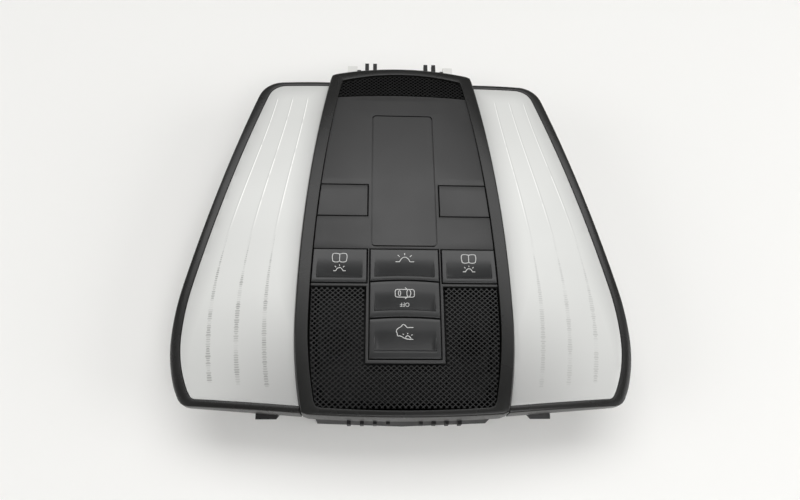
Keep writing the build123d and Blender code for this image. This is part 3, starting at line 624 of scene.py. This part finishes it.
# lens rims and lenses, the left ones mirrored
rim = {
    "side": 5.6, "front": 3.3, "rear": 3.3,
    "frontCorner": 11.0, "rearCorner": 4.0,
    "roll": 0.9, "innerRoll": 0.3, "points": 130,
}
lens = {
    "gap": 0.25, "drop": 0.3, "under": 3.0, "edge": 0.35, "seamClear": 2.0,
    "cell": 4.0, "cellsX": (48, 124), "cellsY": (-112, 104), "outlinePoints": 240,
}
guide = {  # three light guide lines under each lens: x at four places along y, and their pitch
    "along": (91.5, 10.0, -70.0, -98.0),
    "first": (61.7, 72.3, 77.2, 74.0),
    "pitch": (9.85, 13.0, 15.4, 15.2),
}


def throughPlaces(places, values, y):
    # smooth curve through a few given values
    return sum(
        value * math.prod((y - b) / (a - b) for b in places if b != a)
        for a, value in zip(places, values)
    )


def untilConsole(path):
    # part of a wing path that lies outside the console
    def outside(p):
        return p.x > sideX(-lens["gap"], p.y)

    kept = []
    for a, b in zip(path, path[1:]):
        if outside(a):
            kept.append(a)
        if outside(a) != outside(b):
            low, high = 0.0, 1.0
            for _ in range(30):  # halve in on the crossing
                half = (low + high) / 2
                if outside(a.lerp(b, half)) == outside(a):
                    low = half
                else:
                    high = half
            kept.append(a.lerp(b, high))
    if outside(path[-1]):
        kept.append(path[-1])
    return kept


def rimInside(gap):
    widths = (rim["side"] + gap, rim["front"] + gap, rim["rear"] + gap)
    return untilConsole(wingEdge(*widths, rim["frontCorner"], rim["rearCorner"]))


def makeRim(side):
    bm = bmesh.new()
    outer = untilConsole(wingEdge(0, 0, 0, wing["frontCorner"], wing["rearCorner"]))
    outer, inner = evenly(outer, rim["points"]), evenly(rimInside(0), rim["points"])
    stripBetween(bm, outer, inner, False)
    top = face["height"] - face["wingStep"]
    height = top - face["seat"]
    raiseBy(bm, height)
    rollAlong(bm, outer, height, rim["roll"], 5)
    rollAlong(bm, inner, height, rim["innerRoll"], 2)
    bmesh.ops.translate(bm, vec=(0, 0, face["seat"]), verts=bm.verts[:])
    shapeTop(bm, face["seat"] + 1, lambda x, y, z: z + wingHeight(0, x, y) - top)
    finishPiece(bm, side + "LensRim", "console", "rimPlastic",
                side + "_lens_rim", flip=side == "left")


def makeLens(side):
    bm = bmesh.new()
    edge = rimInside(lens["gap"])
    foot, head = edge[-1].y + lens["seamClear"], edge[0].y - lens["seamClear"]
    seam = [p for p in consoleSide(-lens["gap"], 0, 0)[::-1] if foot < p.y < head]
    plateOf(bm, edge + seam)
    raiseRolled(bm, lens["under"], lens["edge"], 2)
    cutAt(bm, 0, spaced(*lens["cellsX"], lens["cell"]))
    cutAt(bm, 1, spaced(*lens["cellsY"], lens["cell"]))
    for v in bm.verts:
        v.co.z = wingHeight(lens["drop"] + lens["under"] - v.co.z, v.co.x, v.co.y)
    lines = bm.loops.layers.uv.new("guideLines")
    border = bm.loops.layers.uv.new("border")
    outline = evenly(edge + seam + [edge[0]], lens["outlinePoints"])
    for v in bm.verts:
        x, y = v.co.x, v.co.y
        first = throughPlaces(guide["along"], guide["first"], y)
        pitch = throughPlaces(guide["along"], guide["pitch"], y)
        fromEdge = min((p - v.co.xy).length for p in outline)
        for corner in v.link_loops:
            corner[lines].uv = ((x - first) / pitch, y)
            corner[border].uv = (fromEdge, x)
    finishPiece(bm, side + "Lens", "console", "lensMilk",
                side + "_lens", flip=side == "left")


for side in ("right", "left"):
    makeRim(side)
    makeLens(side)
print("wings done")

# switch panel with its engraved rectangle, and the blank covers
panel = {
    "drop": 0.6, "wall": 2.2, "edge": 0.22,
    "gap": 0.55, "buttonGap": 0.65, "grilleGap": 1.05,
    "frontY": 92.2, "frontRadius": 426.0, "frontPoints": 12, "frontSideDrop": 4.0, "sideClear": 2.0,
    "shoulderY": -45.1, "columnHalf": 21.7, "columnRearY": -88.6,
    "grooveHalf": 19.4, "grooveFrontY": 74.5, "grooveRearY": -20.8,
    "grooveCorner": 2.5, "grooveCornerPoints": 5, "grooveWidth": 0.85, "grooveDepth": 1.1,
    "grooveReach": 2.0,  # the groove's corner faces lie this far in
    "rowStep": 6.0, "sideStep": 5.0,
}
cover = {"inner": 21.65, "frontY": 20.45, "rearY": -0.55, "edge": 0.25, "rowStep": 4.0}
button = {
    "half": 19.5, "sideInner": 21.6, "rowFrontY": -22.8, "sideRearY": -43.0, "sideLip": 3.6, "sideStep": 4.0,
    "domeRearY": -42.25, "motionRearY": -63.75, "autoRearY": -86.2, "split": 0.8, "drop": 0.1,
    "skirt": 7.0, "edge": 0.35,
    "lipSide": 2.9, "slope": 0.6, "slopeColumns": 5, "rise": 1.6, "riseRows": 8,
    "scoop": 1.3, "scoopStart": 0.28, "scoopCurve": 1.6,
    "scoopStep": 1.2, "frontStep": 2.0, "bowStep": 2.3,
}


def grooveHalfLoop(inset):
    half = panel["grooveHalf"] - inset
    front, rear = panel["grooveFrontY"] - inset, panel["grooveRearY"] + inset
    corner, count = panel["grooveCorner"] - inset, panel["grooveCornerPoints"]
    top = roundCorner((0, front), (half, front), (half, rear), corner, count)
    foot = roundCorner((half, front), (half, rear), (0, rear), corner, count)
    return [Vector((0, front))] + top + foot + [Vector((0, rear))]


def panelHalfLoop():
    gap, inset = panel["buttonGap"], bezel["side"] + panel["gap"]
    radius = panel["frontRadius"] - panel["gap"]
    centre = panel["frontY"] - panel["frontRadius"]
    reach, count = sideX(inset, panel["frontY"] - panel["frontSideDrop"]), panel["frontPoints"]
    across = [reach * i / count for i in range(count + 1)]
    points = [Vector((x, centre + math.sqrt(radius**2 - x * x))) for x in across]
    rowFront = button["rowFrontY"] + gap
    points += downSide(inset, points[-1].y - panel["sideClear"], cover["frontY"] + gap, panel["sideStep"])
    for inner, high, low, below in (
        (cover["inner"], cover["frontY"], cover["rearY"], rowFront),
        (button["sideInner"], button["rowFrontY"], button["sideRearY"], panel["shoulderY"]),
    ):
        points += [Vector((inner - gap, high + gap)), Vector((inner - gap, low - gap))]
        points += downSide(inset, low - gap, below, panel["sideStep"])
    column, half = panel["columnHalf"], button["half"] + gap
    foot, rowRear = panel["columnRearY"], button["autoRearY"] - gap
    corners = [(column, panel["shoulderY"]), (column, foot), (0, foot)]
    corners += [(0, rowRear), (half, rowRear), (half, rowFront), (0, rowFront)]
    return points + [Vector(corner) for corner in corners]


def makePanel():
    bm = bmesh.new()
    width = panel["grooveWidth"]
    grooveOuter, grooveInner = grooveHalfLoop(0), grooveHalfLoop(width)
    plateOf(bm, panelHalfLoop() + grooveOuter[::-1])
    plateOf(bm, grooveInner)
    stripBetween(bm, grooveOuter, grooveInner, False)
    bmesh.ops.remove_doubles(bm, verts=bm.verts[:], dist=mergeDist)
    whole = bm.verts[:] + bm.edges[:] + bm.faces[:]
    bmesh.ops.mirror(bm, geom=whole, axis="X", merge_dist=wideMerge)
    faceOut(bm)
    if bm.faces[0].normal.z < 0:
        bmesh.ops.reverse_faces(bm, faces=bm.faces[:])
    raiseRolled(bm, panel["wall"], panel["edge"], 2)
    half, front, rear = panel["grooveHalf"], panel["grooveFrontY"], panel["grooveRearY"]
    biggest = 6 * half * width  # the plates beside the groove are larger

    def inGroove(f):
        middle = f.calc_center_median()
        if abs(f.normal.z) < 0.9 or middle.z < panel["wall"] - 0.01:
            return False
        if abs(middle.x) > half or not rear < middle.y < front or f.calc_area() >= biggest:
            return False
        aside = abs(middle.x) > half - width - panel["grooveReach"]
        return aside or not rear + width < middle.y < front - width

    channel = [f for f in bm.faces if inGroove(f)]
    sunk = bmesh.ops.extrude_face_region(bm, geom=channel)["geom"]
    sunk = [v for v in sunk if isinstance(v, bmesh.types.BMVert)]
    bmesh.ops.delete(bm, geom=[f for f in channel if f.is_valid], context="FACES")
    bmesh.ops.translate(bm, vec=(0, 0, -panel["grooveDepth"]), verts=sunk)
    faceOut(bm)
    cutAt(bm, 1, spaced(panel["columnRearY"], panel["frontY"], panel["rowStep"]))
    onCrown(bm, panel["drop"], panel["wall"])
    finishPiece(bm, "switchPanel", "console", "panelPlastic", "switch_panel")


def makeCover(side):
    bm = bmesh.new()
    inner, high, low = cover["inner"], cover["frontY"], cover["rearY"]
    edge = downSide(bezel["side"] + panel["buttonGap"], high, low, panel["sideStep"])
    plateOf(bm, [Vector((inner, low)), Vector((inner, high))] + edge)
    raiseRolled(bm, panel["wall"], cover["edge"], 3)
    cutAt(bm, 1, spaced(low, high, cover["rowStep"]))
    onCrown(bm, panel["drop"], panel["wall"])
    finishPiece(bm, side + "BlankCover", "console", "panelPlastic",
                side + "_blank_cover", flip=side == "left")


makePanel()
for side in ("right", "left"):
    makeCover(side)
print("panel and covers done")


# buttons: caps with a finger scoop that deepens towards the rear lip
def smooth(value):
    value = min(1.0, max(0.0, value))
    return value * value * (3 - 2 * value)


def scoopDepth(x, y, left, right, front, rear, lip):
    start = front - (front - rear) * button["scoopStart"]
    floorEnd = rear + lip
    if y >= start or y <= floorEnd - button["rise"]:
        return 0.0
    fall = min(1.0, (start - y) / (start - floorEnd))
    depth = button["scoop"] * fall ** button["scoopCurve"]
    if y < floorEnd:
        depth = button["scoop"] * (1 - (floorEnd - y) / button["rise"]) ** 3
    inset = min(x - left, right - x) - button["lipSide"] + button["slope"]
    return depth * smooth(inset / button["slope"])


def capHeight(x, y, span):
    return crownHeight(button["drop"], y) - scoopDepth(x, y, *span)


def bowAt(node, x, y):
    # how far a cap's edges bow towards the front
    frontBow, rearBow = bows.get(node, (0, 0))
    front, rear = spans[node][2:4]
    share = (y - rear) / (front - rear)
    return (rearBow + (frontBow - rearBow) * share) * (1 - (x / button["half"]) ** 2)


def makeButton(name, node, points):
    left, right, front, rear, lip = span = spans[node]
    bm = bmesh.new()
    plateOf(bm, points)
    raiseRolled(bm, button["skirt"], button["edge"], 3)
    slope, rise, lipSide = button["slope"], button["rise"], button["lipSide"]
    start = front - (front - rear) * button["scoopStart"]
    floorEnd = rear + lip
    rows = spaced(floorEnd - rise, floorEnd, rise / button["riseRows"])
    rows += spaced(floorEnd, start, button["scoopStep"]) + spaced(start, front, button["frontStep"])
    cutAt(bm, 1, rows + [floorEnd, start, floorEnd - rise])
    inset = lipSide - slope
    for a, b in ((left + inset, left + inset + slope), (right - inset - slope, right - inset)):
        cutAt(bm, 0, [a, b] + spaced(a, b, slope / button["slopeColumns"]))
    if node in bows:
        cutAt(bm, 0, spaced(left + lipSide, right - lipSide, button["bowStep"]))
    for v in bm.verts:
        if v.co.z > button["skirt"] / 2:
            v.co.z += capHeight(v.co.x, v.co.y, span) - button["skirt"]
        else:
            v.co.z = crownHeight(0, button["autoRearY"]) - button["skirt"]
        v.co.y += bowAt(node, v.co.x, v.co.y)
    finishPiece(bm, name, node, "buttonPlastic", node, sharp=40)


bows = {  # bow of the front and the rear edge
    "dome_button": (0, 1.0),
    "motion_sensor_button": (1.0, 0.9),
    "auto_light_button": (0.9, 0),
}
spans = {}  # left, right, front, rear and depth of the rear lip
front = button["rowFrontY"]
for name, node, rear, lip in (
    ("domeLampButton", "dome_button", button["domeRearY"], 3.2),
    ("motionSensorButton", "motion_sensor_button", button["motionRearY"], 4.5),
    ("autoLightButton", "auto_light_button", button["autoRearY"], 4.7),
):
    left, right = -button["half"], button["half"]
    spans[node] = (left, right, front, rear, lip)
    makeButton(name, node, [Vector(p) for p in ((left, rear), (left, front), (right, front), (right, rear))])
    front = rear - button["split"]
for side, sign in sides:
    inner, high, low = button["sideInner"], button["rowFrontY"], button["sideRearY"]
    outer = bezel["side"] + panel["buttonGap"]
    edge = [Vector((inner, low)), Vector((inner, high))] + downSide(outer, high, low, button["sideStep"])
    ends = sorted((sign * inner, sign * sideX(outer, (high + low) / 2)))
    spans[side + "_reading_button"] = (*ends, high, low, button["sideLip"])
    makeButton(side + "ReadingButton", side + "_reading_button", [Vector((sign * p.x, p.y)) for p in edge])
print("buttons done")

# diamond mesh of the two grilles
meshLook = {
    "pitchX": 3.1, "pitchY": 2.7, "strand": 0.25, "chamfer": 0.13, "draft": 0.02, "drop": 0.6, "depth": 1.5,
    "sideCuts": 5, "rearClear": 0.2,
}
lowerNet = {"low": (-54, -113), "high": (54, -45)}
upperNet = {"low": (-45, 88), "high": (45, 111), "sideRoom": 8.0, "edgeFromY": 90.0,
            "fan": 6.5, "fanStep": 1.0, "fanReach": 6.0}


def diamondCells(bm, low, high):
    (left, rear), (right, front) = low, high
    px, py = meshLook["pitchX"], meshLook["pitchY"]
    reach = math.ceil(((right - left) / px + (front - rear) / py) / 2) + 2
    grid = bmesh.ops.create_grid(bm, x_segments=2 * reach, y_segments=2 * reach, size=reach)["verts"]
    turn = Matrix.Rotation(math.radians(45), 4, "Z")
    bmesh.ops.rotate(bm, cent=(0, 0, 0), matrix=turn, verts=grid)
    half = math.sqrt(0.5)
    bmesh.ops.scale(bm, vec=(px * half, py * half, 1), verts=grid)
    bmesh.ops.translate(bm, vec=((left + right) / 2, (front + rear) / 2, 0), verts=grid)
    cells, outside = [], []
    for f in dict.fromkeys(f for v in grid for f in v.link_faces):
        middle = f.calc_center_median()
        near = left - px < middle.x < right + px and rear - px < middle.y < front + px
        (cells if near else outside).append(f)
    bmesh.ops.delete(bm, geom=outside, context="FACES")
    return cells


def makeGrille(name, node, net, trim, material):
    strand, chamfer, draft = meshLook["strand"], meshLook["chamfer"], meshLook["draft"]
    low, high = net["low"], net["high"]
    bm = bmesh.new()
    cells = diamondCells(bm, low, high)
    for thickness, depth in ((strand, 0), (chamfer, -chamfer), (draft, chamfer - meshLook["depth"])):
        bmesh.ops.inset_individual(bm, faces=cells, thickness=thickness, depth=depth)
    bmesh.ops.delete(bm, geom=cells, context="FACES")
    front = set(bm.verts)
    cells = diamondCells(bm, low, high)  # back of the net
    bmesh.ops.inset_individual(bm, faces=cells, thickness=strand + chamfer + draft, depth=0)
    bmesh.ops.delete(bm, geom=cells, context="FACES")
    back = [v for v in bm.verts if v not in front]
    bmesh.ops.translate(bm, vec=(0, 0, -meshLook["depth"]), verts=back)
    bmesh.ops.remove_doubles(bm, verts=bm.verts[:], dist=wideMerge)
    trim(bm)
    bmesh.ops.holes_fill(bm, edges=[e for e in bm.edges if e.is_boundary], sides=0)
    onCrown(bm, meshLook["drop"])
    finishPiece(bm, name, "console", material, node, sharp=30)


def keepInside(bm, point, outward):
    geom = bm.verts[:] + bm.edges[:] + bm.faces[:]
    cut = bmesh.ops.bisect_plane(
        bm, geom=geom, dist=cutDist, plane_co=(*point, 0), plane_no=(*outward, 0), clear_outer=True
    )["geom_cut"]
    ends = [e for e in cut if isinstance(e, bmesh.types.BMEdge) and e.is_boundary]
    bmesh.ops.holes_fill(bm, edges=ends, sides=0)  # cut strands get their ends


def trimAlong(bm, points, axis):
    # cut along a path and its mirror image, keeping the side nearer the middle of the axis
    for a, b in zip(points, points[1:]):
        way = (b - a).normalized()
        outward = Vector((way.y, -way.x))
        outward = outward if outward[axis] > 0 else -outward
        keepInside(bm, a, outward)
        keepInside(bm, (-a.x, a.y), (-outward.x, outward.y))


def trimSides(bm, high, low, inset):
    count = meshLook["sideCuts"]
    places = [low + (high - low) * i / count for i in range(count + 1)]
    trimAlong(bm, [Vector((sideX(inset, y), y)) for y in places], 0)


def trimLower(bm):
    seam = panel["grilleGap"]
    keepInside(bm, (0, panel["shoulderY"] - seam), (0, 1))
    keepInside(bm, (0, console["rearY"] + bezel["rear"] + seam + meshLook["rearClear"]), (0, -1))
    trimSides(bm, panel["shoulderY"], console["rearCornerY"] + bezel["rear"], bezel["side"] + seam)
    half, foot = panel["columnHalf"] + seam, panel["columnRearY"] - seam
    cutAt(bm, 0, [-half, half])
    cutAt(bm, 1, [foot])
    middles = {f: f.calc_center_median() for f in bm.faces}
    column = [f for f, middle in middles.items() if abs(middle.x) < half and middle.y > foot]
    bmesh.ops.delete(bm, geom=column, context="FACES")


def trimUpper(bm):
    seam = panel["grilleGap"]
    side, front = bezel["side"] + seam, bezel["front"] + seam
    trimSides(bm, console["frontCornerY"] - bezel["front"], panel["frontY"] - upperNet["sideRoom"], side)
    edge = [p for p in consoleHalf(side, front, 0) if p.y > upperNet["edgeFromY"]]
    trimAlong(bm, edge[:console["endPoints"] + 1], 1)
    radius, centre = panel["frontRadius"], panel["frontY"] - panel["frontRadius"]
    # along the panel's front arc
    for angle in spaced(-upperNet["fan"], upperNet["fan"], upperNet["fanStep"]):
        spoke = Vector((math.sin(math.radians(angle)), math.cos(math.radians(angle)), 0))
        foot = Vector((0, centre, 0)) + radius * spoke
        strip = [f for f in bm.faces if abs(f.calc_center_median().x - foot.x) < upperNet["fanReach"]]
        geom = strip + list({e for f in strip for e in f.edges}) + list({v for f in strip for v in f.verts})
        bmesh.ops.bisect_plane(bm, geom=geom, dist=cutDist, plane_co=foot, plane_no=spoke)
    middles = {f: f.calc_center_median() for f in bm.faces}
    below = [f for f, middle in middles.items() if math.hypot(middle.x, middle.y - centre) < radius]
    bmesh.ops.delete(bm, geom=below, context="FACES")


makeGrille("lowerGrille", "lower_grille", lowerNet, trimLower, "meshPlastic")
makeGrille("upperGrille", "upper_grille", upperNet, trimUpper, "fineMeshPlastic")
print("grilles done")

# printed symbols: strokes in millimetres, round their own place
symbol = {
    "stroke": 0.42, "flatten": 0.06, "lift": 0.02, "row": 0.6, "textSize": 3.1,
    "bevelSteps": 1, "curveSteps": 5,
    "lampAt": (0.2, -30.4), "carAt": (0, -49.4), "carSize": 0.96, "wordAt": (-0.1, -55.7),
    "openCarAt": (0, -71.6),
}
lampStrokes = [
    ("line", [(-5.3, 0), (-2.95, 0)]),
    ("line", [(2.95, 0), (5.3, 0)]),
    ("curve", [(-2.95, 0), (-2.2, 1.45), (-1.1, 2.45), (0, 2.75), (1.1, 2.45), (2.2, 1.45), (2.95, 0)]),
    ("line", [(-4.05, 4.1), (-2.9, 3.0)]),
    ("line", [(4.05, 4.1), (2.9, 3.0)]),
    ("line", [(0, 5.3), (0, 4.1)]),
]
pageEdge = [
    (0, 2.45), (-0.7, 2.75), (-3.9, 2.75), (-4.25, 2.4),
    (-4.3, -1.3), (-3.9, -2.3), (-3.0, -2.65), (-1.0, -2.6), (0, -2.1),
]
bookStrokes = [("line", [(0, 2.35), (0, -2.05)])]
for mirror in (1, -1):
    bookStrokes.append(("curve", [(mirror * x, y) for x, y in pageEdge]))
carStrokes = [
    ("ring", [(-4.5, 2.3), (4.5, 2.3), (5.3, 2.0), (5.6, 1.2), (5.6, -1.2), (5.3, -2.0), (4.5, -2.3),
              (-4.5, -2.3), (-5.3, -2.0), (-5.6, -1.2), (-5.6, 1.2), (-5.3, 2.0)]),
    ("curve", [(1.9, 2.1), (1.35, 1.2), (1.2, 0), (1.35, -1.2), (1.9, -2.1)]),
    ("curve", [(2.7, 2.1), (3.3, 1.2), (3.5, 0), (3.3, -1.2), (2.7, -2.1)]),
    ("ring", [(-3.1, 1.6), (-2.6, 1.2), (-2.4, 0), (-2.6, -1.2),
              (-3.1, -1.6), (-3.6, -1.2), (-3.8, 0), (-3.6, 1.2)]),
    ("line", [(0.2, 3.5), (1.2, 2.5)]),
    ("line", [(0.2, -3.3), (1.2, -2.3)]),
]
openCarStrokes = [
    ("curve", [(4.5, 2.5), (2.5, 2.5), (1.1, 2.5), (0.1, 3.6), (-1.2, 4.1), (-2.2, 3.0), (-3.7, 2.1),
               (-4.8, 0.8), (-4.4, -0.9), (-4.1, -2.0), (-2.5, -2.2), (-0.7, -3.2),
               (1.2, -3.8), (4.4, -4.0)]),
    ("curve", [(0.1, -3.0), (1.0, -2.1), (2.1, -2.3), (3.2, -3.6)]),
    ("line", [(-1.3, -1.0), (-0.7, -1.5)]),
    ("line", [(1.4, -0.55), (1.25, -1.25)]),
    ("line", [(4.0, -1.4), (3.3, -1.8)]),
]
readingMarks = ((bookStrokes, (37.05, -28.4), 0.93), (lampStrokes, (37.0, -36.0), 0.67))  # place and size


def strokesAt(strokes, place, size=1.0):
    return [(kind, [(place[0] + size * x, place[1] + size * y) for x, y in path]) for kind, path in strokes]


def addCurve(bm, curve, turn):
    holder = bpy.data.objects.new(curve.name, curve)
    mesh = bpy.data.meshes.new_from_object(holder)
    mesh.transform(turn)
    bm.from_mesh(mesh)
    bpy.data.objects.remove(holder)
    bpy.data.curves.remove(curve)
    bpy.data.meshes.remove(mesh)


def addStrokes(bm, strokes):
    curve = bpy.data.curves.new("strokes", "CURVE")
    curve.dimensions = "3D"
    curve.bevel_depth = symbol["stroke"] / 2
    curve.bevel_resolution = symbol["bevelSteps"]
    curve.resolution_u = symbol["curveSteps"]
    curve.use_fill_caps = True
    for kind, path in strokes:
        spline = curve.splines.new("BEZIER")
        spline.bezier_points.add(len(path) - 1)
        spline.use_cyclic_u = kind == "ring"
        for point, (x, y) in zip(spline.bezier_points, path):
            point.co = (x, y, 0)
            point.handle_left_type = point.handle_right_type = "AUTO" if kind == "curve" else "VECTOR"
    addCurve(bm, curve, Matrix.Identity(4))


def addWord(bm, word):
    text = bpy.data.curves.new("word", "FONT")
    text.body = word
    text.size = symbol["textSize"]
    text.align_x, text.align_y = "CENTER", "CENTER"
    text.extrude = symbol["stroke"] / 2
    turn = Matrix.Rotation(math.pi, 4, "Z")  # read from the front seats
    addCurve(bm, text, Matrix.Translation((*symbol["wordAt"], 0)) @ turn)


def makeSymbol(name, node, strokes, word=None):
    bm = bmesh.new()
    addStrokes(bm, strokes)
    rows = [v.co.y for v in bm.verts]
    cutAt(bm, 1, spaced(min(rows), max(rows), symbol["row"]))
    if word:
        addWord(bm, word)
    for v in bm.verts:
        y = v.co.y - bowAt(node, v.co.x, v.co.y)
        v.co.z = capHeight(v.co.x, y, spans[node]) + symbol["lift"] + v.co.z * symbol["flatten"]
    finishPiece(bm, name, node, "symbolPrint")


makeSymbol("domeSymbol", "dome_button", strokesAt(lampStrokes, symbol["lampAt"]))
car = strokesAt(carStrokes, symbol["carAt"], symbol["carSize"])
makeSymbol("motionSymbol", "motion_sensor_button", car, "OFF")
makeSymbol("autoSymbol", "auto_light_button", strokesAt(openCarStrokes, symbol["openCarAt"]))
for side, sign in sides:
    marks = []
    for strokes, (x, y), size in readingMarks:
        marks += strokesAt(strokes, (sign * x, y), size)
    makeSymbol(side + "ReadingSymbol", side + "_reading_button", marks)
print("symbols done")

# small nubs of the housing that look out past the front edge
nub = {"x": 29.0, "frontY": 125.8, "length": 14.0, "width": 2.8, "height": 2.2, "round": 0.5}
for side, sign in sides:
    bm = bmesh.new()
    bmesh.ops.create_cube(bm, size=1.0)
    bmesh.ops.scale(bm, vec=(nub["width"], nub["length"], nub["height"]), verts=bm.verts[:])
    rollEdges(bm, lambda e: True, nub["round"], 3)
    middle = (sign * nub["x"], nub["frontY"] - nub["length"] / 2, face["seat"] - nub["height"] / 2)
    bmesh.ops.translate(bm, vec=middle, verts=bm.verts[:])
    finishPiece(bm, side + "FrontNub", "console", "housingPlastic")
print("nubs done")

# finishes of the carried-over CAD nodes
carried = {
    "housingPlastic": ["rear_housing", "switch_carrier"],
    "springPaint": ["left_spring_clip", "right_spring_clip"],
    "clipPlastic": ["left_front_clip", "right_front_clip"],
    "reflectorPlastic": ["left_reflector", "right_reflector"],
    "socketPlastic": ["left_bulb_socket", "right_bulb_socket"],
    "bulbGlass": ["left_bulb", "right_bulb"],
    "boardCoat": ["circuit_board"],
    "connectorPlastic": ["board_connector"],
    "lightPlastic": ["symbol_lights"],
    "sensorCan": ["microphone", "left_motion_sensor", "right_motion_sensor"],
    "switchRubber": [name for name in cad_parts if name.endswith("_switch_dome")],
}
for material, names in carried.items():
    for name in names:
        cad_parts[name].data.materials.clear()
        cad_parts[name].data.materials.append(finish[material])
print("finishes on the carried nodes")

# floor, light and camera
stage = {
    "radius": 1.05, "under": 0.0001, "sides": 128,
    "tone": (0.91, 0.905, 0.885, 1), "roughness": 0.8,
    "paperTop": 0.2, "paperFade": 0.4,  # paper stands up to there, the room is above
    "glow": (1.0, 0.995, 0.975, 1), "glowStrength": 0.14,
}
bm = bmesh.new()
bmesh.ops.create_circle(bm, cap_ends=True, segments=stage["sides"], radius=stage["radius"])
bmesh.ops.translate(bm, vec=(0, 0, cadBox[0].z - stage["under"]), verts=bm.verts[:])
floorMesh = bpy.data.meshes.new("floor")
bm.to_mesh(floorMesh)
bm.free()
floor = addObject("floor", floorMesh)
floorPaint, tree, shader = newMaterial("floorPaint")
feed(tree, shader, {"Base Color": stage["tone"], "Roughness": stage["roughness"]})
floor.data.materials.append(floorPaint)

lamps = {
    "window": {"place": (0.06, 1.2, 2.4), "aim": (0, 0, 0.03), "size": (3.4, 1.42), "power": 40.5},
    "leftSide": {"place": (-1.6, -0.25, 0.8), "aim": (0, -0.05, 0.03), "size": (1.0, 1.0), "power": 8.0},
    "rightSide": {"place": (1.6, -0.25, 0.8), "aim": (0, -0.05, 0.03), "size": (1.0, 1.0), "power": 10.5},
    "fill": {"place": (0.35, -0.95, 1.5), "aim": (0, -0.2, 0.02), "size": (1.0, 1.0), "power": 11.0},
}
for name, lamp in lamps.items():
    light = bpy.data.lights.new(name, "AREA")
    light.shape = "RECTANGLE"
    light.size, light.size_y = lamp["size"]
    light.energy = lamp["power"]
    aim = Vector(lamp["aim"]) - Vector(lamp["place"])
    turned = aim.to_track_quat("-Z", "Y").to_matrix().to_4x4()
    addObject(name, light).matrix_world = Matrix.Translation(lamp["place"]) @ turned

world = bpy.data.worlds.new("room")
bpy.context.scene.world = world
world.use_nodes = True
room = world.node_tree
glow = room.nodes["Background"]
feed(room, glow, {"Color": stage["glow"], "Strength": stage["glowStrength"]})
paper = addNode(room, "ShaderNodeBackground", {"Color": stage["tone"], "Strength": 1.0})
ray = addNode(room, "ShaderNodeLightPath").outputs
direct = ray["Is Camera Ray"]
for kind in ("Is Glossy Ray", "Is Transmission Ray"):
    direct = maths(room, "MAXIMUM", direct, ray[kind])
rise = partsOf(room, objectPlace(room))["Z"]
low = remap(room, rise, stage["paperTop"], stage["paperFade"], 1.0, 0.0)
shown = maths(room, "MULTIPLY", direct, low)
seen = addNode(room, "ShaderNodeMixShader", {0: shown, 1: glow.outputs[0], 2: paper.outputs[0]})
feed(room, room.nodes["World Output"], {"Surface": seen.outputs[0]})

view = {  # focal length and width in pixels of the photograph
    "place": (-0.018445, -0.175480, 0.375), "pitch": 64.6546, "turn": -5.9725, "roll": -6.0,
    "focal": 620.0, "width": 800.0, "sensor": 36.0, "near": 0.01,
}
turned = Matrix.Translation(view["place"])
for angle, axis in ((view["turn"], "Z"), (90 - view["pitch"], "X"), (-view["roll"], "Z")):
    turned = turned @ Matrix.Rotation(math.radians(angle), 4, axis)
camera = bpy.data.cameras.new("camera")
camera.sensor_width = view["sensor"]
camera.lens = camera.sensor_width * view["focal"] / view["width"]
camera.clip_start = view["near"]
cameraObject = addObject("camera", camera)
cameraObject.matrix_world = turned
bpy.context.scene.camera = cameraObject
bpy.context.scene.view_settings.view_transform = "Standard"
print("stage set")

bpy.context.view_layer.update()
